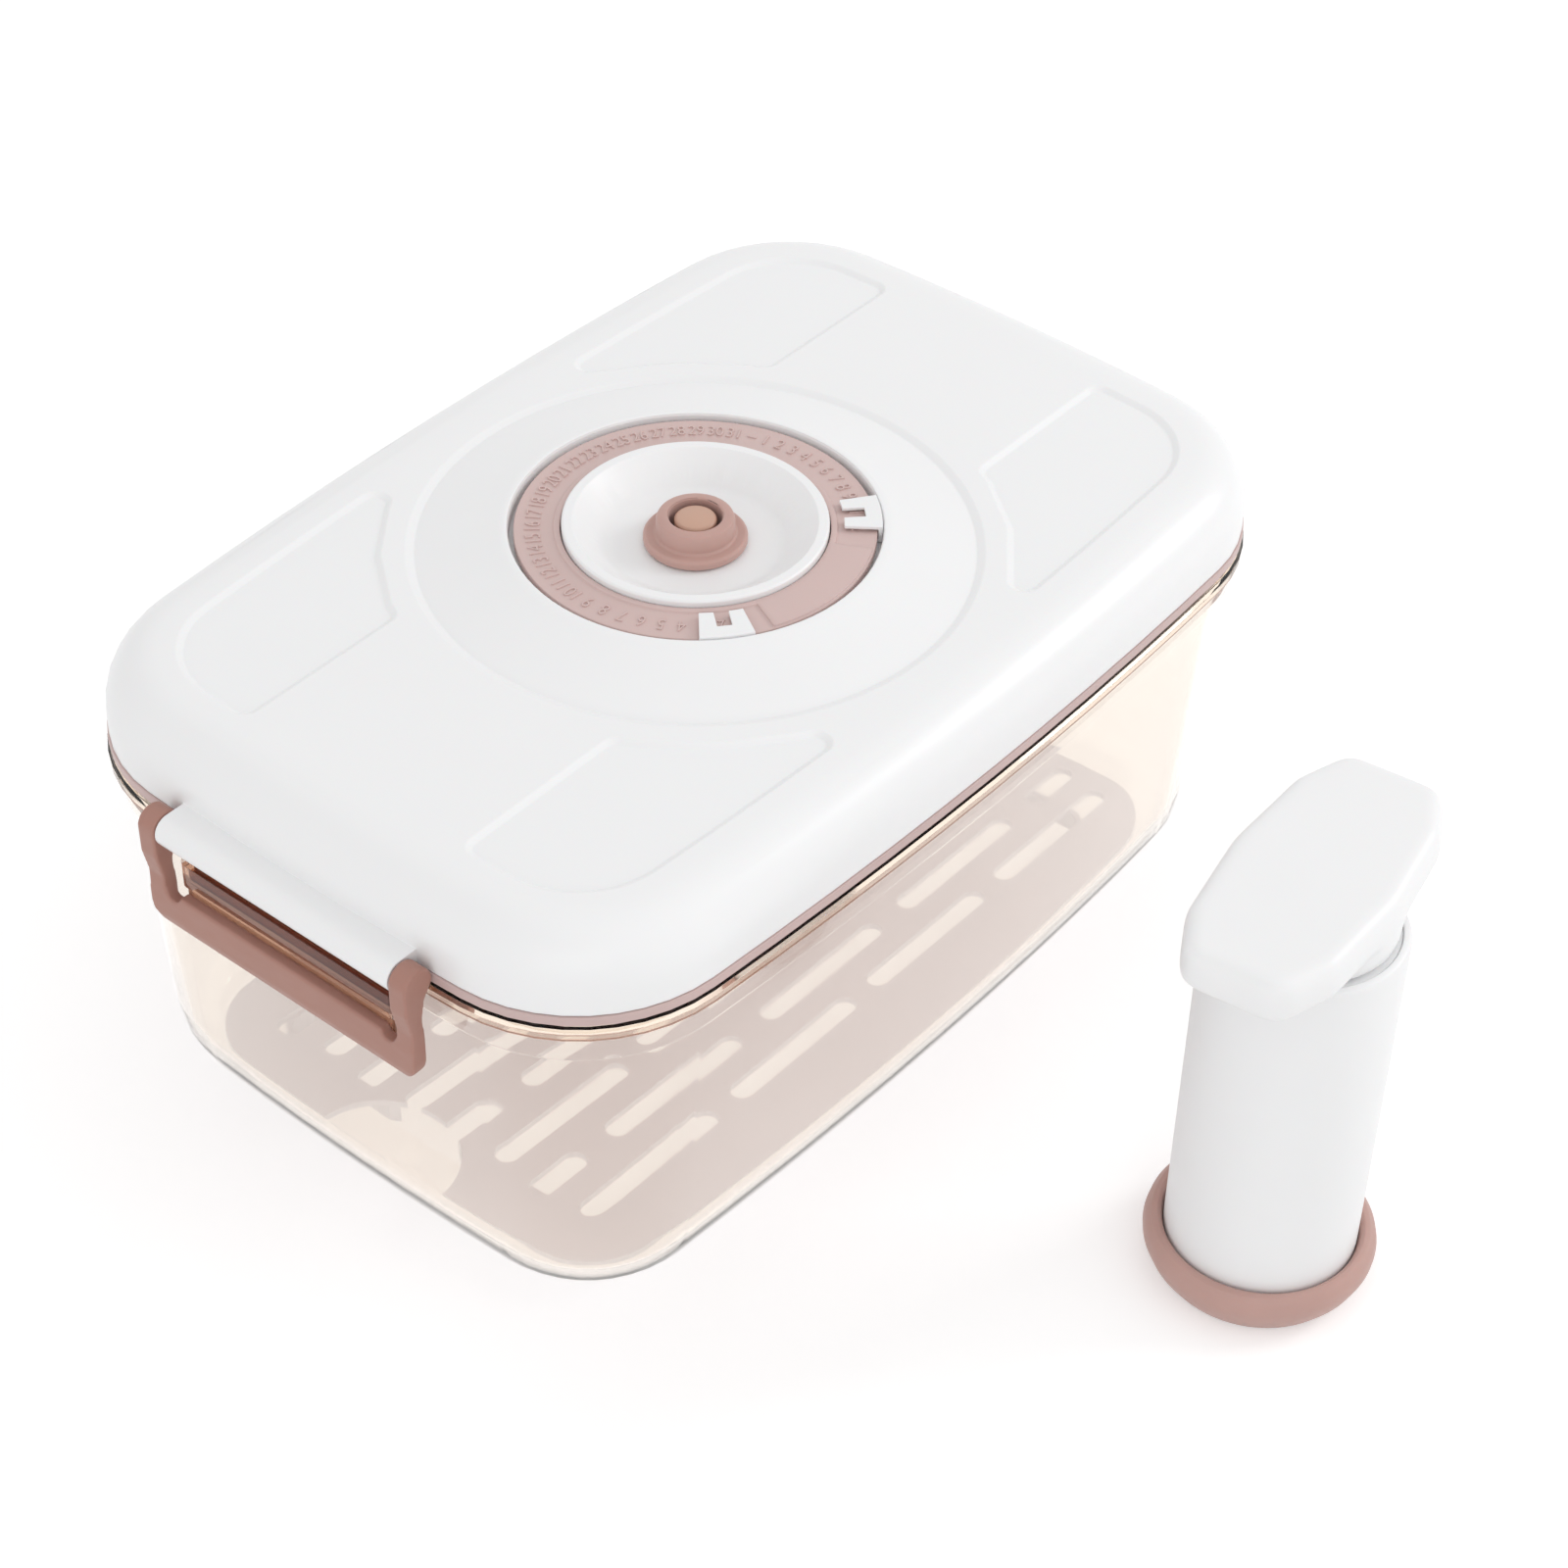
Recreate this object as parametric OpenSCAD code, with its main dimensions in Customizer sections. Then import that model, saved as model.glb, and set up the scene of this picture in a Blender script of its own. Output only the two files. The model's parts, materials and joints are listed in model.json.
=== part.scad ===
// Food storage box that is pumped out by hand: a tinted clear tub with a drain
// tray, a domed lid with a date dial and a release valve, two end latches, and
// a separate hand pump that stands beside it.
// The origin is the centre of the tub's flat bottom. +X runs along the box
// towards the rear latch, +Z is up, and the pump stands on the -Y side.

/* [Tub] */
// Length of the tub at its rim
tub_l = 260; // [230:1:300]
// Width of the tub at its rim
tub_w = 176; // [160:1:200]
// Height of the tub from its flat bottom to its rim
tub_h = 101.8; // [90:0.1:140]
// Radius of the upright corners at the rim
corner_r = 40.2; // [37:0.2:50]
// How far the long sides bow outwards
long_bow = 6.4; // [3:0.1:8]
// How far the short sides bow outwards
short_bow = 4.4; // [2:0.1:6]
// Overhang of the rim flange beyond the wall under it
rim_out = 3.6; // [2.8:0.1:4.6]
// Height of the rim flange
rim_h = 3; // [2:0.1:4]
// Narrowing of each wall from the rim down to the bottom
taper = 4; // [2:0.1:6]
// Thickness of the tub's walls
tub_wall = 2.2; // [1.6:0.1:2.8]
// Thickness of the tub's floor
tub_floor = 2.6; // [2:0.1:4]
// Radius of the curve between wall and bottom
foot_r = 26; // [18:0.5:28]

/* [Ledges for the latches] */
// Width of each ledge, along Y
ledge_w = 67; // [50:0.2:80]
// Reach of each ledge beyond the rim flange
ledge_out = 3.7; // [3:0.1:5]
// Height of the ledge's raised edge
ledge_h = 6.5; // [4:0.1:7]
// Drop from the tub's rim to the top of the ledge's edge
ledge_drop = 4.3; // [3.6:0.1:6]

/* [Drain tray] */
// Gap between the tray's edge and the tub's curved wall
tray_gap = 0.5; // [0.4:0.1:3]
// Height of the tray's plate above the tub's floor
tray_rise = 7; // [4:0.5:10]
// Thickness of the tray's plate
tray_t = 1.8; // [1.2:0.1:3]
// Width of each drain slot
slot_w = 6.2; // [4:0.2:8]
// Length of a long drain slot
slot_l = 44; // [30:1:45]
// Distance between rows of slots
slot_pitch = 13.5; // [11:0.5:18]
// Radius of the finger notch
notch_r = 19; // [14:0.5:22]

/* [Lid] */
// Open gap between the tub's rim and the lid
lid_gap = 1.3; // [0.8:0.1:2]
// Height of the inner plate's edge, which shows under the shell
plate_edge = 2.5; // [2:0.1:4]
// Height of the lid's shell from its lower edge to its flat top
shell_h = 19; // [17:0.1:26]
// Thickness of the lid's shell
shell_t = 2.2; // [1.6:0.1:2.8]
// Reach of the lid's rounded edge, inwards
dome_reach = 12.6; // [9:0.1:15]
// Height of the lid's rounded edge
dome_rise = 13.4; // [10:0.1:15]
// Depth of the corner panels
panel_depth = 0.9; // [0.4:0.1:1.4]
// Depth that the lid's plug reaches into the tub
plug_depth = 7; // [6:0.5:14]
// Height of the sealing ring
gasket_h = 5; // [3:0.2:5.4]

/* [Dial] */
// Radius of the round field that the dial rises from
field_r = 66.3; // [60:0.1:70]
// Height of the dial's collar above the lid's flat top
collar_rise = 5.3; // [3:0.1:7]
// Radius of the dial's well
well_r = 42.8; // [42:0.1:46]
// Outer radius of the date ring
ring_r = 41.5; // [40:0.1:41.5]
// Inner radius of the date ring
ring_hole_r = 30.9; // [30:0.1:32]
// Thickness of the date ring at its number track
ring_t = 3; // [2.4:0.1:4]
// Height of the ring's raised band above its track
band_rise = 0.5; // [0.3:0.1:0.7]
// Drop from the collar to the number track
ring_drop = 1.1; // [0.9:0.1:2]
// Angle of the day pointer, counter-clockwise from +X
day_angle = 230.4; // [225:0.2:236]
// Angle of the month pointer
month_angle = 316; // [306:0.2:330]
// Width of each pointer
pointer_w = 12.2; // [8:0.2:12.4]

/* [Valve] */
// Radius of the bowl's mouth
bowl_r = 27.8; // [27:0.1:29]
// Depth of the bowl from its rim to its floor
bowl_depth = 6.3; // [5:0.1:8]
// Radius of the valve's flange
flange_r = 12; // [10:0.1:13]
// Radius of the valve's body
valve_r = 9.1; // [8:0.1:9.6]
// Height of the valve above the bowl's floor
valve_h = 7.5; // [6:0.1:9]
// Radius of the release button
button_r = 4.9; // [4:0.1:5.4]
// Travel of the release button
button_travel = 2; // [1:0.1:2]
// Radius of the button's stem
stem_r = 2.4; // [2:0.1:2.6]

/* [Latches] */
// Width of each latch, along Y
latch_w = 80.4; // [78:0.2:96]
// Radius of the hinge bosses
boss_r = 4.1; // [3.8:0.1:4.4]
// Radius of the hinge pins
pin_r = 1.8; // [1.4:0.1:2]
// Bite of the latch's hook under the ledge
bite = 0.4; // [0.2:0.1:0.6]
// Play under the ledge when the latch is shut
hook_play = 1.4; // [1.4:0.1:2.2]
// Height of the latch's band
latch_band_h = 11.2; // [9:0.2:16]

/* [Pump] */
// Place of the pump's axis along X
pump_x = 4; // [-60:1:60]
// Distance from the tub's rim to the pump's axis
pump_away = 79; // [60:1:120]
// Radius of the pump's barrel
barrel_r = 22; // [20:0.1:24]
// Height of the barrel's top above the floor
barrel_h = 104.5; // [90:0.5:130]
// Thickness of the barrel's wall
barrel_t = 2; // [1.6:0.1:2.6]
// Radius of the plunger
plunger_r = 17.8; // [15:0.1:17.9]
// Stroke of the plunger
stroke = 60; // [40:1:60]
// Widest radius of the pump's soft foot
cup_r = 26.6; // [25:0.1:28]
// Height of the pump's soft foot
cup_h = 13; // [10:0.5:16]
// Length of the handle
handle_l = 77; // [64:1:92]
// Width of the handle at its ends
handle_end_w = 27; // [20:0.5:30]
// Width of the handle at its middle
handle_mid_w = 39; // [34:0.5:44]
// Thickness of the handle
handle_t = 10; // [8:0.5:13]
// Turn of the handle about the pump's axis
handle_turn = 7; // [-30:1:30]

/* [Hidden] */
$fn = 96;

// Colours, as the photograph shows them
amber = [0.95, 0.87, 0.76, 0.55];
white = [0.94, 0.94, 0.94];
rose = [0.76, 0.58, 0.54];
pale_rose = [0.80, 0.67, 0.65];
tray_grey = [0.85, 0.79, 0.77, 0.8];
steel = [0.7, 0.7, 0.72];

// Small clearances
snug = 0.1;        // between pieces fixed to each other
running = 0.05;    // radial, round a shaft
free_gap = 0.3;    // between pieces that move apart
overlap = 1;       // how far cutters and joined volumes run past a face

// The bowed outline: arcs for two long sides, two short sides, four corners
half_l = tub_l / 2;
half_w = tub_w / 2;
long_r = (half_l * half_l + long_bow * long_bow) / (2 * long_bow);
short_r = (half_w * half_w + short_bow * short_bow) / (2 * short_bow);
long_cy = half_w - long_r;
short_cx = half_l - short_r;
centre_gap = norm([short_cx, long_cy]);
to_long = long_r - corner_r;
to_short = short_r - corner_r;
along = (to_long * to_long - to_short * to_short
  + centre_gap * centre_gap) / (2 * centre_gap);
aside = sqrt(to_long * to_long - along * along);
corner_x = (short_cx * along - long_cy * aside) / centre_gap;
corner_y = long_cy - (long_cy * along + short_cx * aside) / centre_gap;
side_angle = atan2(corner_y - long_cy, corner_x);
end_angle = atan2(corner_y, corner_x - short_cx);
corner_steps = 10;
long_steps = 10;
short_steps = 6;

function arc(centre, radius, from, to, steps) = [
  for (i = [0 : steps - 1])
    let (a = from + (to - from) * i / steps)
    centre + radius * [cos(a), sin(a)]
];

function outline(inset) = concat(
  arc([short_cx, 0], short_r - inset, -end_angle, end_angle, short_steps),
  arc([corner_x, corner_y], corner_r - inset, end_angle, side_angle,
    corner_steps),
  arc([0, long_cy], long_r - inset, side_angle, 180 - side_angle, long_steps),
  arc([-corner_x, corner_y], corner_r - inset, 180 - side_angle,
    180 - end_angle, corner_steps),
  arc([-short_cx, 0], short_r - inset, 180 - end_angle, 180 + end_angle,
    short_steps),
  arc([-corner_x, -corner_y], corner_r - inset, 180 + end_angle,
    180 + side_angle, corner_steps),
  arc([0, -long_cy], long_r - inset, 180 + side_angle, 360 - side_angle,
    long_steps),
  arc([corner_x, -corner_y], corner_r - inset, 360 - side_angle,
    360 - end_angle, corner_steps)
);

// A solid through a list of [inset, height] rings, closed at both ends
module loft(rings) {
  count = len(outline(0));
  points = [for (ring = rings) for (p = outline(ring[0]))
    [p[0], p[1], ring[1]]];
  last = (len(rings) - 1) * count;
  sides = [for (k = [0 : len(rings) - 2]) for (i = [0 : count - 1])
    let (j = (i + 1) % count)
    [k * count + i, (k + 1) * count + i, (k + 1) * count + j, k * count + j]];
  floor_face = [for (i = [0 : count - 1]) i];
  roof_face = [for (i = [count - 1 : -1 : 0]) last + i];
  polyhedron(points, concat([floor_face], sides, [roof_face]), convexity = 6);
}

// A closed band: the rings go round a section and come back to the first
module loft_band(rings) {
  count = len(outline(0));
  points = [for (ring = rings) for (p = outline(ring[0]))
    [p[0], p[1], ring[1]]];
  faces = [for (k = [0 : len(rings) - 1]) for (i = [0 : count - 1])
    let (j = (i + 1) % count, m = (k + 1) % len(rings))
    [k * count + i, m * count + i, m * count + j, k * count + j]];
  polyhedron(points, faces, convexity = 6);
}

function flip(list) = [for (i = [len(list) - 1 : -1 : 0]) list[i]];

// Heights that several pieces share
wall_inset = rim_out;
foot_inset = rim_out + taper;
flat_inset = foot_inset + foot_r;
mouth_inset = wall_inset + tub_wall;
band_drop = 8;
plate_z = tub_h + lid_gap;
shell_z = plate_z + plate_edge;
top_z = shell_z + shell_h;
collar_z = top_z + collar_rise;
track_z = collar_z - ring_drop;
ring_z = track_z - ring_t;
bowl_top_z = collar_z + 0.9;
bowl_floor_z = bowl_top_z - bowl_depth;
bowl_floor_t = 1.8;
ledge_top_z = tub_h - ledge_drop;
ledge_z = ledge_top_z - ledge_h;
ledge_x = half_l + ledge_out;
pivot_x = half_l + 3.5;
pivot_z = shell_z + 0.4;
lip_r = boss_r - 0.2;
window_gap = 1.7;
window_half = ledge_w / 2 + window_gap;
ear_t = latch_w / 2 - window_half;
lip_half = window_half - free_gap;
pump_y = -(half_w + pump_away);

// Fillet between wall and bottom, from the floor up
function fillet(inset, radius, base_z) = [
  for (a = [0 : 15 : 90])
    [inset - radius * sin(a), base_z + radius * (1 - cos(a))]
];

tub_outer = concat(
  fillet(flat_inset, foot_r, 0),
  [[wall_inset + 0.3, tub_h - rim_h - band_drop],
   [wall_inset - 1.6, tub_h - rim_h - band_drop + 0.8],
   [wall_inset - 1.8, tub_h - rim_h],
   [0, tub_h - rim_h + 0.4],
   [0, tub_h - 0.7],
   [0.7, tub_h]]
);
tub_inner = concat(
  fillet(flat_inset, foot_r - tub_wall, tub_floor),
  [[mouth_inset, tub_h - rim_h - band_drop], [mouth_inset, tub_h]]
);

module rounded_slab(size_x, size_y, height, radius) {
  linear_extrude(height) {
    square([size_x - 2 * radius, size_y], center = true);
    square([size_x, size_y - 2 * radius], center = true);
    for (sx = [-1, 1], sy = [-1, 1])
      translate([sx * (size_x / 2 - radius), sy * (size_y / 2 - radius)])
        circle(radius);
  }
}

// Shelf at the end of the tub that a latch hooks under
module ledge() {
  inner_x = half_l - wall_inset - 1.2;
  depth = 2 * (ledge_x - inner_x);
  edge = 2.2;
  difference() {
    translate([inner_x, 0, ledge_z])
      rounded_slab(depth, ledge_w, ledge_h, 2.8);
    translate([inner_x, 0, ledge_z + edge])
      rounded_slab(depth - 2 * edge, ledge_w - 2 * edge, ledge_h, 1.4);
    translate([inner_x - depth, -ledge_w, ledge_z - overlap])
      cube([depth, 2 * ledge_w, ledge_h + 2 * overlap]);
  }
}

module tub() color(amber) {
  loft(concat(tub_outer, flip(tub_inner)));
  ledge();
  mirror([1, 0, 0]) ledge();
}

// Drain tray: a plate that stands on a low skirt, with staggered slots
tray_z = tub_floor + tray_rise;
tray_r = foot_r - tub_wall;
tray_inset = flat_inset + tray_gap
  - sqrt(tray_r * tray_r - pow(tray_r - tray_rise + tray_t, 2));
tray_end = half_l - tray_inset;
tray_side = half_w - tray_inset;
skirt_t = 1.6;
slot_gap = 7;
wide_gap = 9;
slot_field = half_w - flat_inset - tray_gap - slot_w;
slot_rows = 2 * floor(slot_field / slot_pitch + 0.5);
short_slot = slot_l * 0.39;
slot_shift = 5;

module slot(length) {
  for (s = [-1, 1]) translate([s * (length - slot_w) / 2, 0])
    circle(d = slot_w, $fn = 24);
  square([length - slot_w, slot_w], center = true);
}

module slot_row(short_ends) {
  step = slot_l + (short_ends ? wide_gap : slot_gap);
  if (short_ends) {
    for (k = [-1 : 1]) translate([k * step, 0]) slot(slot_l);
    for (s = [-1, 1])
      translate([s * (1.5 * step + (wide_gap / 2 + short_slot / 2)), 0])
        slot(short_slot);
  } else {
    for (k = [-1.5 : 1.5]) translate([k * step, 0]) slot(slot_l);
  }
}

module drain_tray() color(tray_grey) {
  translate([0, 0, tray_z - tray_t]) linear_extrude(tray_t) difference() {
    polygon(outline(tray_inset));
    for (row = [0 : slot_rows - 1])
      translate([slot_shift, (row - (slot_rows - 1) / 2) * slot_pitch])
        slot_row(row % 2 == 1);
    translate([-tray_end, 0]) circle(notch_r);
  }
  translate([0, 0, tub_floor]) linear_extrude(tray_rise - tray_t + 0.5)
    difference() {
      polygon(outline(flat_inset + tray_gap));
      polygon(outline(flat_inset + tray_gap + skirt_t));
      translate([-tray_end, 0]) circle(notch_r);
    }
}

// Lid shell: the dome, the round field with its collar, and the dial's well
function dome(inset, base_z, reach, rise, steps) = [
  for (i = [0 : steps])
    let (a = 90 * i / steps)
    [inset + reach * (1 - cos(a)), base_z + rise * sin(a)]
];
shell_inset = 0.8;
dome_steps = 8;
shell_outer = concat(
  [[shell_inset, shell_z]],
  dome(shell_inset, top_z - dome_rise, dome_reach, dome_rise, dome_steps)
);
shell_inner = concat(
  [[shell_inset + shell_t, shell_z]],
  dome(shell_inset + shell_t, top_z - dome_rise, dome_reach - shell_t,
    dome_rise - shell_t, dome_steps)
);
field_step = 0.8;
tongue = 1.2;
seat_z = ring_z - snug;
seat_hole_r = bowl_r - 2.2;
slope_r = well_r + 2.6;

module dial_field() rotate_extrude() polygon([
  [seat_hole_r, seat_z],
  [well_r, seat_z],
  [well_r, collar_z - 0.4],
  [well_r + 0.4, collar_z],
  [slope_r - 1, collar_z - 0.1],
  [slope_r, collar_z - 0.5],
  [field_r - 2, top_z - field_step],
  [field_r + tongue, top_z - field_step],
  [field_r + tongue, top_z - shell_t + 0.3],
  [field_r - 2, top_z - shell_t - field_step],
  [slope_r + 0.8, seat_z - shell_t],
  [seat_hole_r, seat_z - shell_t]
]);

panel_margin = 17.5;
panel_from = 31.5;
panel_circle = field_r + 5.5;
module corner_panel() offset(r = 4, $fn = 24) offset(delta = -4)
  difference() {
    intersection() {
      polygon(outline(panel_margin));
      translate([panel_from, panel_from]) square([half_l, half_w]);
    }
    circle(panel_circle);
  }

module at_latch(side) translate([side * pivot_x, 0, pivot_z])
  rotate([90, 0, 0]) children();

module latch_lip() difference() {
  union() {
    at_latch(1) cylinder(r = lip_r, h = 2 * lip_half, center = true);
    translate([half_l - 2.2, -lip_half, shell_z])
      cube([pivot_x - half_l + 2.2, 2 * lip_half, pivot_z - shell_z + lip_r]);
  }
  translate([half_l - lip_r, -lip_half - overlap, tub_h - overlap])
    cube([lip_r + free_gap, 2 * (lip_half + overlap),
      shell_z - tub_h + overlap]);
  for (s = [-1, 1]) translate([pivot_x, s * lip_half, pivot_z])
    rotate([90, 0, 0])
      cylinder(r = pin_r + running, h = 2 * (pin_reach + free_gap),
        center = true);
}

// Round reliefs in the lid's edge that the latch's hinge bosses turn in
module boss_relief() for (s = [-1, 1])
  translate([pivot_x, s * (latch_w / 2 - ear_t / 2), pivot_z])
    rotate([90, 0, 0])
      cylinder(r = boss_r + free_gap, h = ear_t + 2 * free_gap,
        center = true);

module lid_shell() color(white) difference() {
  union() {
    difference() {
      loft(concat(flip(shell_inner), shell_outer));
      translate([0, 0, seat_z - 2 * shell_t])
        cylinder(r = field_r, h = 3 * shell_h);
      translate([0, 0, top_z - panel_depth])
        linear_extrude(panel_depth + overlap)
        for (mx = [0, 1], my = [0, 1])
          mirror([mx, 0]) mirror([0, my]) corner_panel();
    }
    dial_field();
    latch_lip();
    mirror([1, 0, 0]) latch_lip();
  }
  boss_relief();
  mirror([1, 0, 0]) boss_relief();
}

// Inner plate: its edge shows as the coloured line under the shell, and its
// plug carries the gasket down into the tub's mouth
plug_z = tub_h - plug_depth;
plug_t = 2;
gasket_t = 2.6;
plug_inset = mouth_inset + gasket_t;
spigot_r = 14;
plate_inset = 0.4;
ceiling_z = plate_z - 1.4;
groove = 1;
guard_r = spigot_r + 5;

module lid_inner_plate() color(rose) difference() {
  loft([
    [plug_inset + plug_t, ceiling_z],
    [plug_inset + plug_t, plug_z],
    [plug_inset, plug_z],
    [plug_inset, plate_z],
    [plate_inset, plate_z],
    [plate_inset, shell_z - snug]
  ]);
  translate([0, 0, plug_z])
    cylinder(r = spigot_r + snug, h = shell_z);
  boss_relief();
  mirror([1, 0, 0]) boss_relief();
}

module lid_gasket() color(pale_rose)
  loft_band([
    [mouth_inset + gasket_t - groove, tub_h - 0.9],
    [plug_inset - 0.02, tub_h - 0.9],
    [plug_inset - 0.02, tub_h - 0.9 - gasket_h],
    [mouth_inset + gasket_t - groove, tub_h - 0.9 - gasket_h],
    [mouth_inset + free_gap, tub_h - 0.9 - gasket_h * 0.65],
    [mouth_inset + free_gap, tub_h - 0.9 - gasket_h * 0.35]
  ]);

// Date dial: a fixed ring with a sunken number track, and two pointers that
// slide in the gap between the ring and the wall of the well
band_r = ring_hole_r + 1.5;
blank_from = 245.6;
blank_to = 298.4;
clip_depth = 1.3;
clip_h = 0.8;
blank_r = ring_r - 0.5;
module sector(radius, from, to, height) {
  steps = 8;
  reach = radius / cos((to - from) / (2 * steps));
  linear_extrude(height) polygon(concat([[0, 0]],
    [for (i = [0 : steps])
      reach * [cos(from + (to - from) * i / steps),
        sin(from + (to - from) * i / steps)]]));
}

module date_ring() color(pale_rose) {
  rotate_extrude() polygon([
    [ring_hole_r, ring_z],
    [ring_r - clip_depth, ring_z],
    [ring_r - clip_depth, ring_z + clip_h + free_gap],
    [ring_r, ring_z + clip_h + free_gap],
    [ring_r, track_z],
    [band_r, track_z],
    [band_r, track_z + band_rise],
    [ring_hole_r, track_z + band_rise]
  ]);
  intersection() {
    translate([0, 0, track_z - 0.5]) difference() {
      cylinder(r = blank_r, h = 0.5 + band_rise);
      translate([0, 0, -overlap]) cylinder(r = band_r - 0.3, h = 3);
    }
    translate([0, 0, track_z - overlap])
      sector(2 * ring_r, blank_from, blank_to, 3);
  }
}

pointer_t = 0.8;
pointer_gap = 0.15;
pointer_in = 7.6;
prong_slot = 3.4;
module pointer(angle) {
  skirt_in = ring_r + pointer_gap;
  skirt_out = well_r - pointer_gap;
  pointer_z = track_z + band_rise + pointer_gap;
  half = asin(pointer_w / (2 * ring_r));
  rotate([0, 0, angle]) difference() {
    intersection() {
      rotate_extrude() polygon([
        [ring_r - pointer_in - 1, pointer_z],
        [skirt_in, pointer_z],
        [skirt_in, ring_z + clip_h + pointer_gap],
        [ring_r - clip_depth + pointer_gap, ring_z + clip_h],
        [ring_r - clip_depth + pointer_gap, ring_z + pointer_gap],
        [skirt_out, ring_z + pointer_gap],
        [skirt_out, pointer_z + pointer_t],
        [ring_r - pointer_in - 1, pointer_z + pointer_t]
      ]);
      union() {
        translate([0, 0, ring_z - overlap])
          sector(1.2 * well_r, -half, half, 2 * ring_t + 2);
      }
    }
    translate([0, 0, pointer_z - overlap])
      cylinder(r = ring_r - pointer_in, h = 4);
    translate([ring_r - pointer_in - 2, -prong_slot / 2, pointer_z - overlap])
      cube([pointer_in - 0.6, prong_slot, pointer_t + 2 * overlap]);
  }
}

module day_pointer() color(white) pointer(day_angle);
module month_pointer() color(white) pointer(month_angle);

// Bowl that the pump's foot sits in, with the valve in its floor and a
// spigot that passes through the inner plate
bowl_floor_r = 20;
bowl_out_r = ring_hole_r - free_gap;
spigot_t = 1.8;
spigot_z = plug_z + 3;
guide_r = stem_r + 1.8;
guide_z = bowl_floor_z - bowl_floor_t - 3;
vent_count = 6;
vent_r = 1.2;
vent_circle_r = 8.2;
module dial_bowl() color(white) difference() {
  rotate_extrude() polygon([
    [stem_r + running, guide_z],
    [guide_r, guide_z],
    [guide_r, bowl_floor_z - bowl_floor_t],
    [spigot_r - spigot_t, bowl_floor_z - bowl_floor_t],
    [spigot_r - spigot_t, spigot_z],
    [spigot_r, spigot_z],
    [spigot_r, bowl_floor_z - bowl_floor_t],
    [bowl_floor_r + 0.8, bowl_floor_z - bowl_floor_t],
    [seat_hole_r - free_gap, seat_z - 0.4],
    [seat_hole_r - free_gap, seat_z + snug],
    [bowl_out_r, seat_z + snug],
    [bowl_out_r, bowl_top_z - 0.4],
    [bowl_out_r - 0.4, bowl_top_z],
    [bowl_r + 0.3, bowl_top_z],
    [bowl_r, bowl_top_z - 0.3],
    [bowl_floor_r + 1, bowl_floor_z + 0.5],
    [bowl_floor_r - 1, bowl_floor_z],
    [stem_r + running, bowl_floor_z]
  ]);
  for (i = [0 : vent_count - 1]) rotate([0, 0, i * 360 / vent_count])
    translate([vent_circle_r, 0, bowl_floor_z - bowl_floor_t - overlap])
      cylinder(r = vent_r, h = bowl_floor_t + 2 * overlap, $fn = 24);
}

// Ring of rubber on the spigot, between the inner plate and the guard
guard_gasket_t = 1.2;
module bowl_gasket() color(pale_rose)
  translate([0, 0, ceiling_z - snug - guard_gasket_t])
    difference() {
      cylinder(r = guard_r - 2, h = guard_gasket_t);
      translate([0, 0, -overlap])
        cylinder(r = spigot_r + snug, h = guard_gasket_t + 2 * overlap);
    }

// Slotted cap on the spigot's end that keeps food out of the valve
guard_z = plug_z + 0.5;
guard_t = 1.5;
guard_top_z = ceiling_z - guard_gasket_t - 2 * snug;
guard_slot_l = 1.3 * spigot_r;
guard_slot_w = 1.6;
module valve_guard() color(white) difference() {
  translate([0, 0, guard_z])
    cylinder(r = guard_r, h = guard_top_z - guard_z);
  translate([0, 0, guard_z + guard_t])
    cylinder(r = spigot_r + snug, h = plug_depth);
  for (a = [0, 60, 120]) rotate([0, 0, a])
    translate([-guard_slot_l / 2, -guard_slot_w / 2, guard_z - overlap])
      cube([guard_slot_l, guard_slot_w, guard_t + 2 * overlap]);
}

// Soft valve: flange over the vents, body with a pocket for the button
pocket_r = button_r + 1.3;
pocket_floor = 1.4;
valve_z = bowl_floor_z + snug;
valve_top_z = bowl_floor_z + valve_h;
module valve_seal() color(rose) rotate_extrude() polygon([
  [stem_r + 0.4, valve_z],
  [flange_r - 0.6, valve_z],
  [flange_r, valve_z + 0.6],
  [flange_r, valve_z + 2],
  [flange_r - 0.6, valve_z + 2.5],
  [valve_r + 0.5, valve_z + 2.5],
  [valve_r, valve_z + 3],
  [valve_r, valve_top_z - 1.4],
  [valve_r - 0.4, valve_top_z - 0.4],
  [valve_r - 1.4, valve_top_z],
  [pocket_r + 0.3, valve_top_z],
  [pocket_r, valve_top_z - 0.3],
  [pocket_r, valve_z + pocket_floor],
  [stem_r + 0.4, valve_z + pocket_floor]
]);

// Release button on a stem, held up by a conical spring
cap_t = 1.8;
button_z = valve_top_z - 0.5;
cap_z = button_z - cap_t;
washer_t = 1.4;
washer_z = guide_z - snug - washer_t;
module release_button() color(rose) rotate_extrude() polygon([
  [0, washer_z - 1],
  [stem_r + 1, washer_z - 1],
  [stem_r + 1, washer_z],
  [stem_r, washer_z],
  [stem_r, cap_z],
  [button_r, cap_z],
  [button_r, button_z - 0.7],
  [button_r - 0.5, button_z - 0.2],
  [button_r - 1.6, button_z],
  [0, button_z + 0.2]
]);

module vent_washer() color(pale_rose) translate([0, 0, washer_z])
  difference() {
    cylinder(r = guide_r + 1, h = washer_t);
    translate([0, 0, -overlap])
      cylinder(r = stem_r + 0.02, h = washer_t + 2 * overlap);
  }

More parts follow.
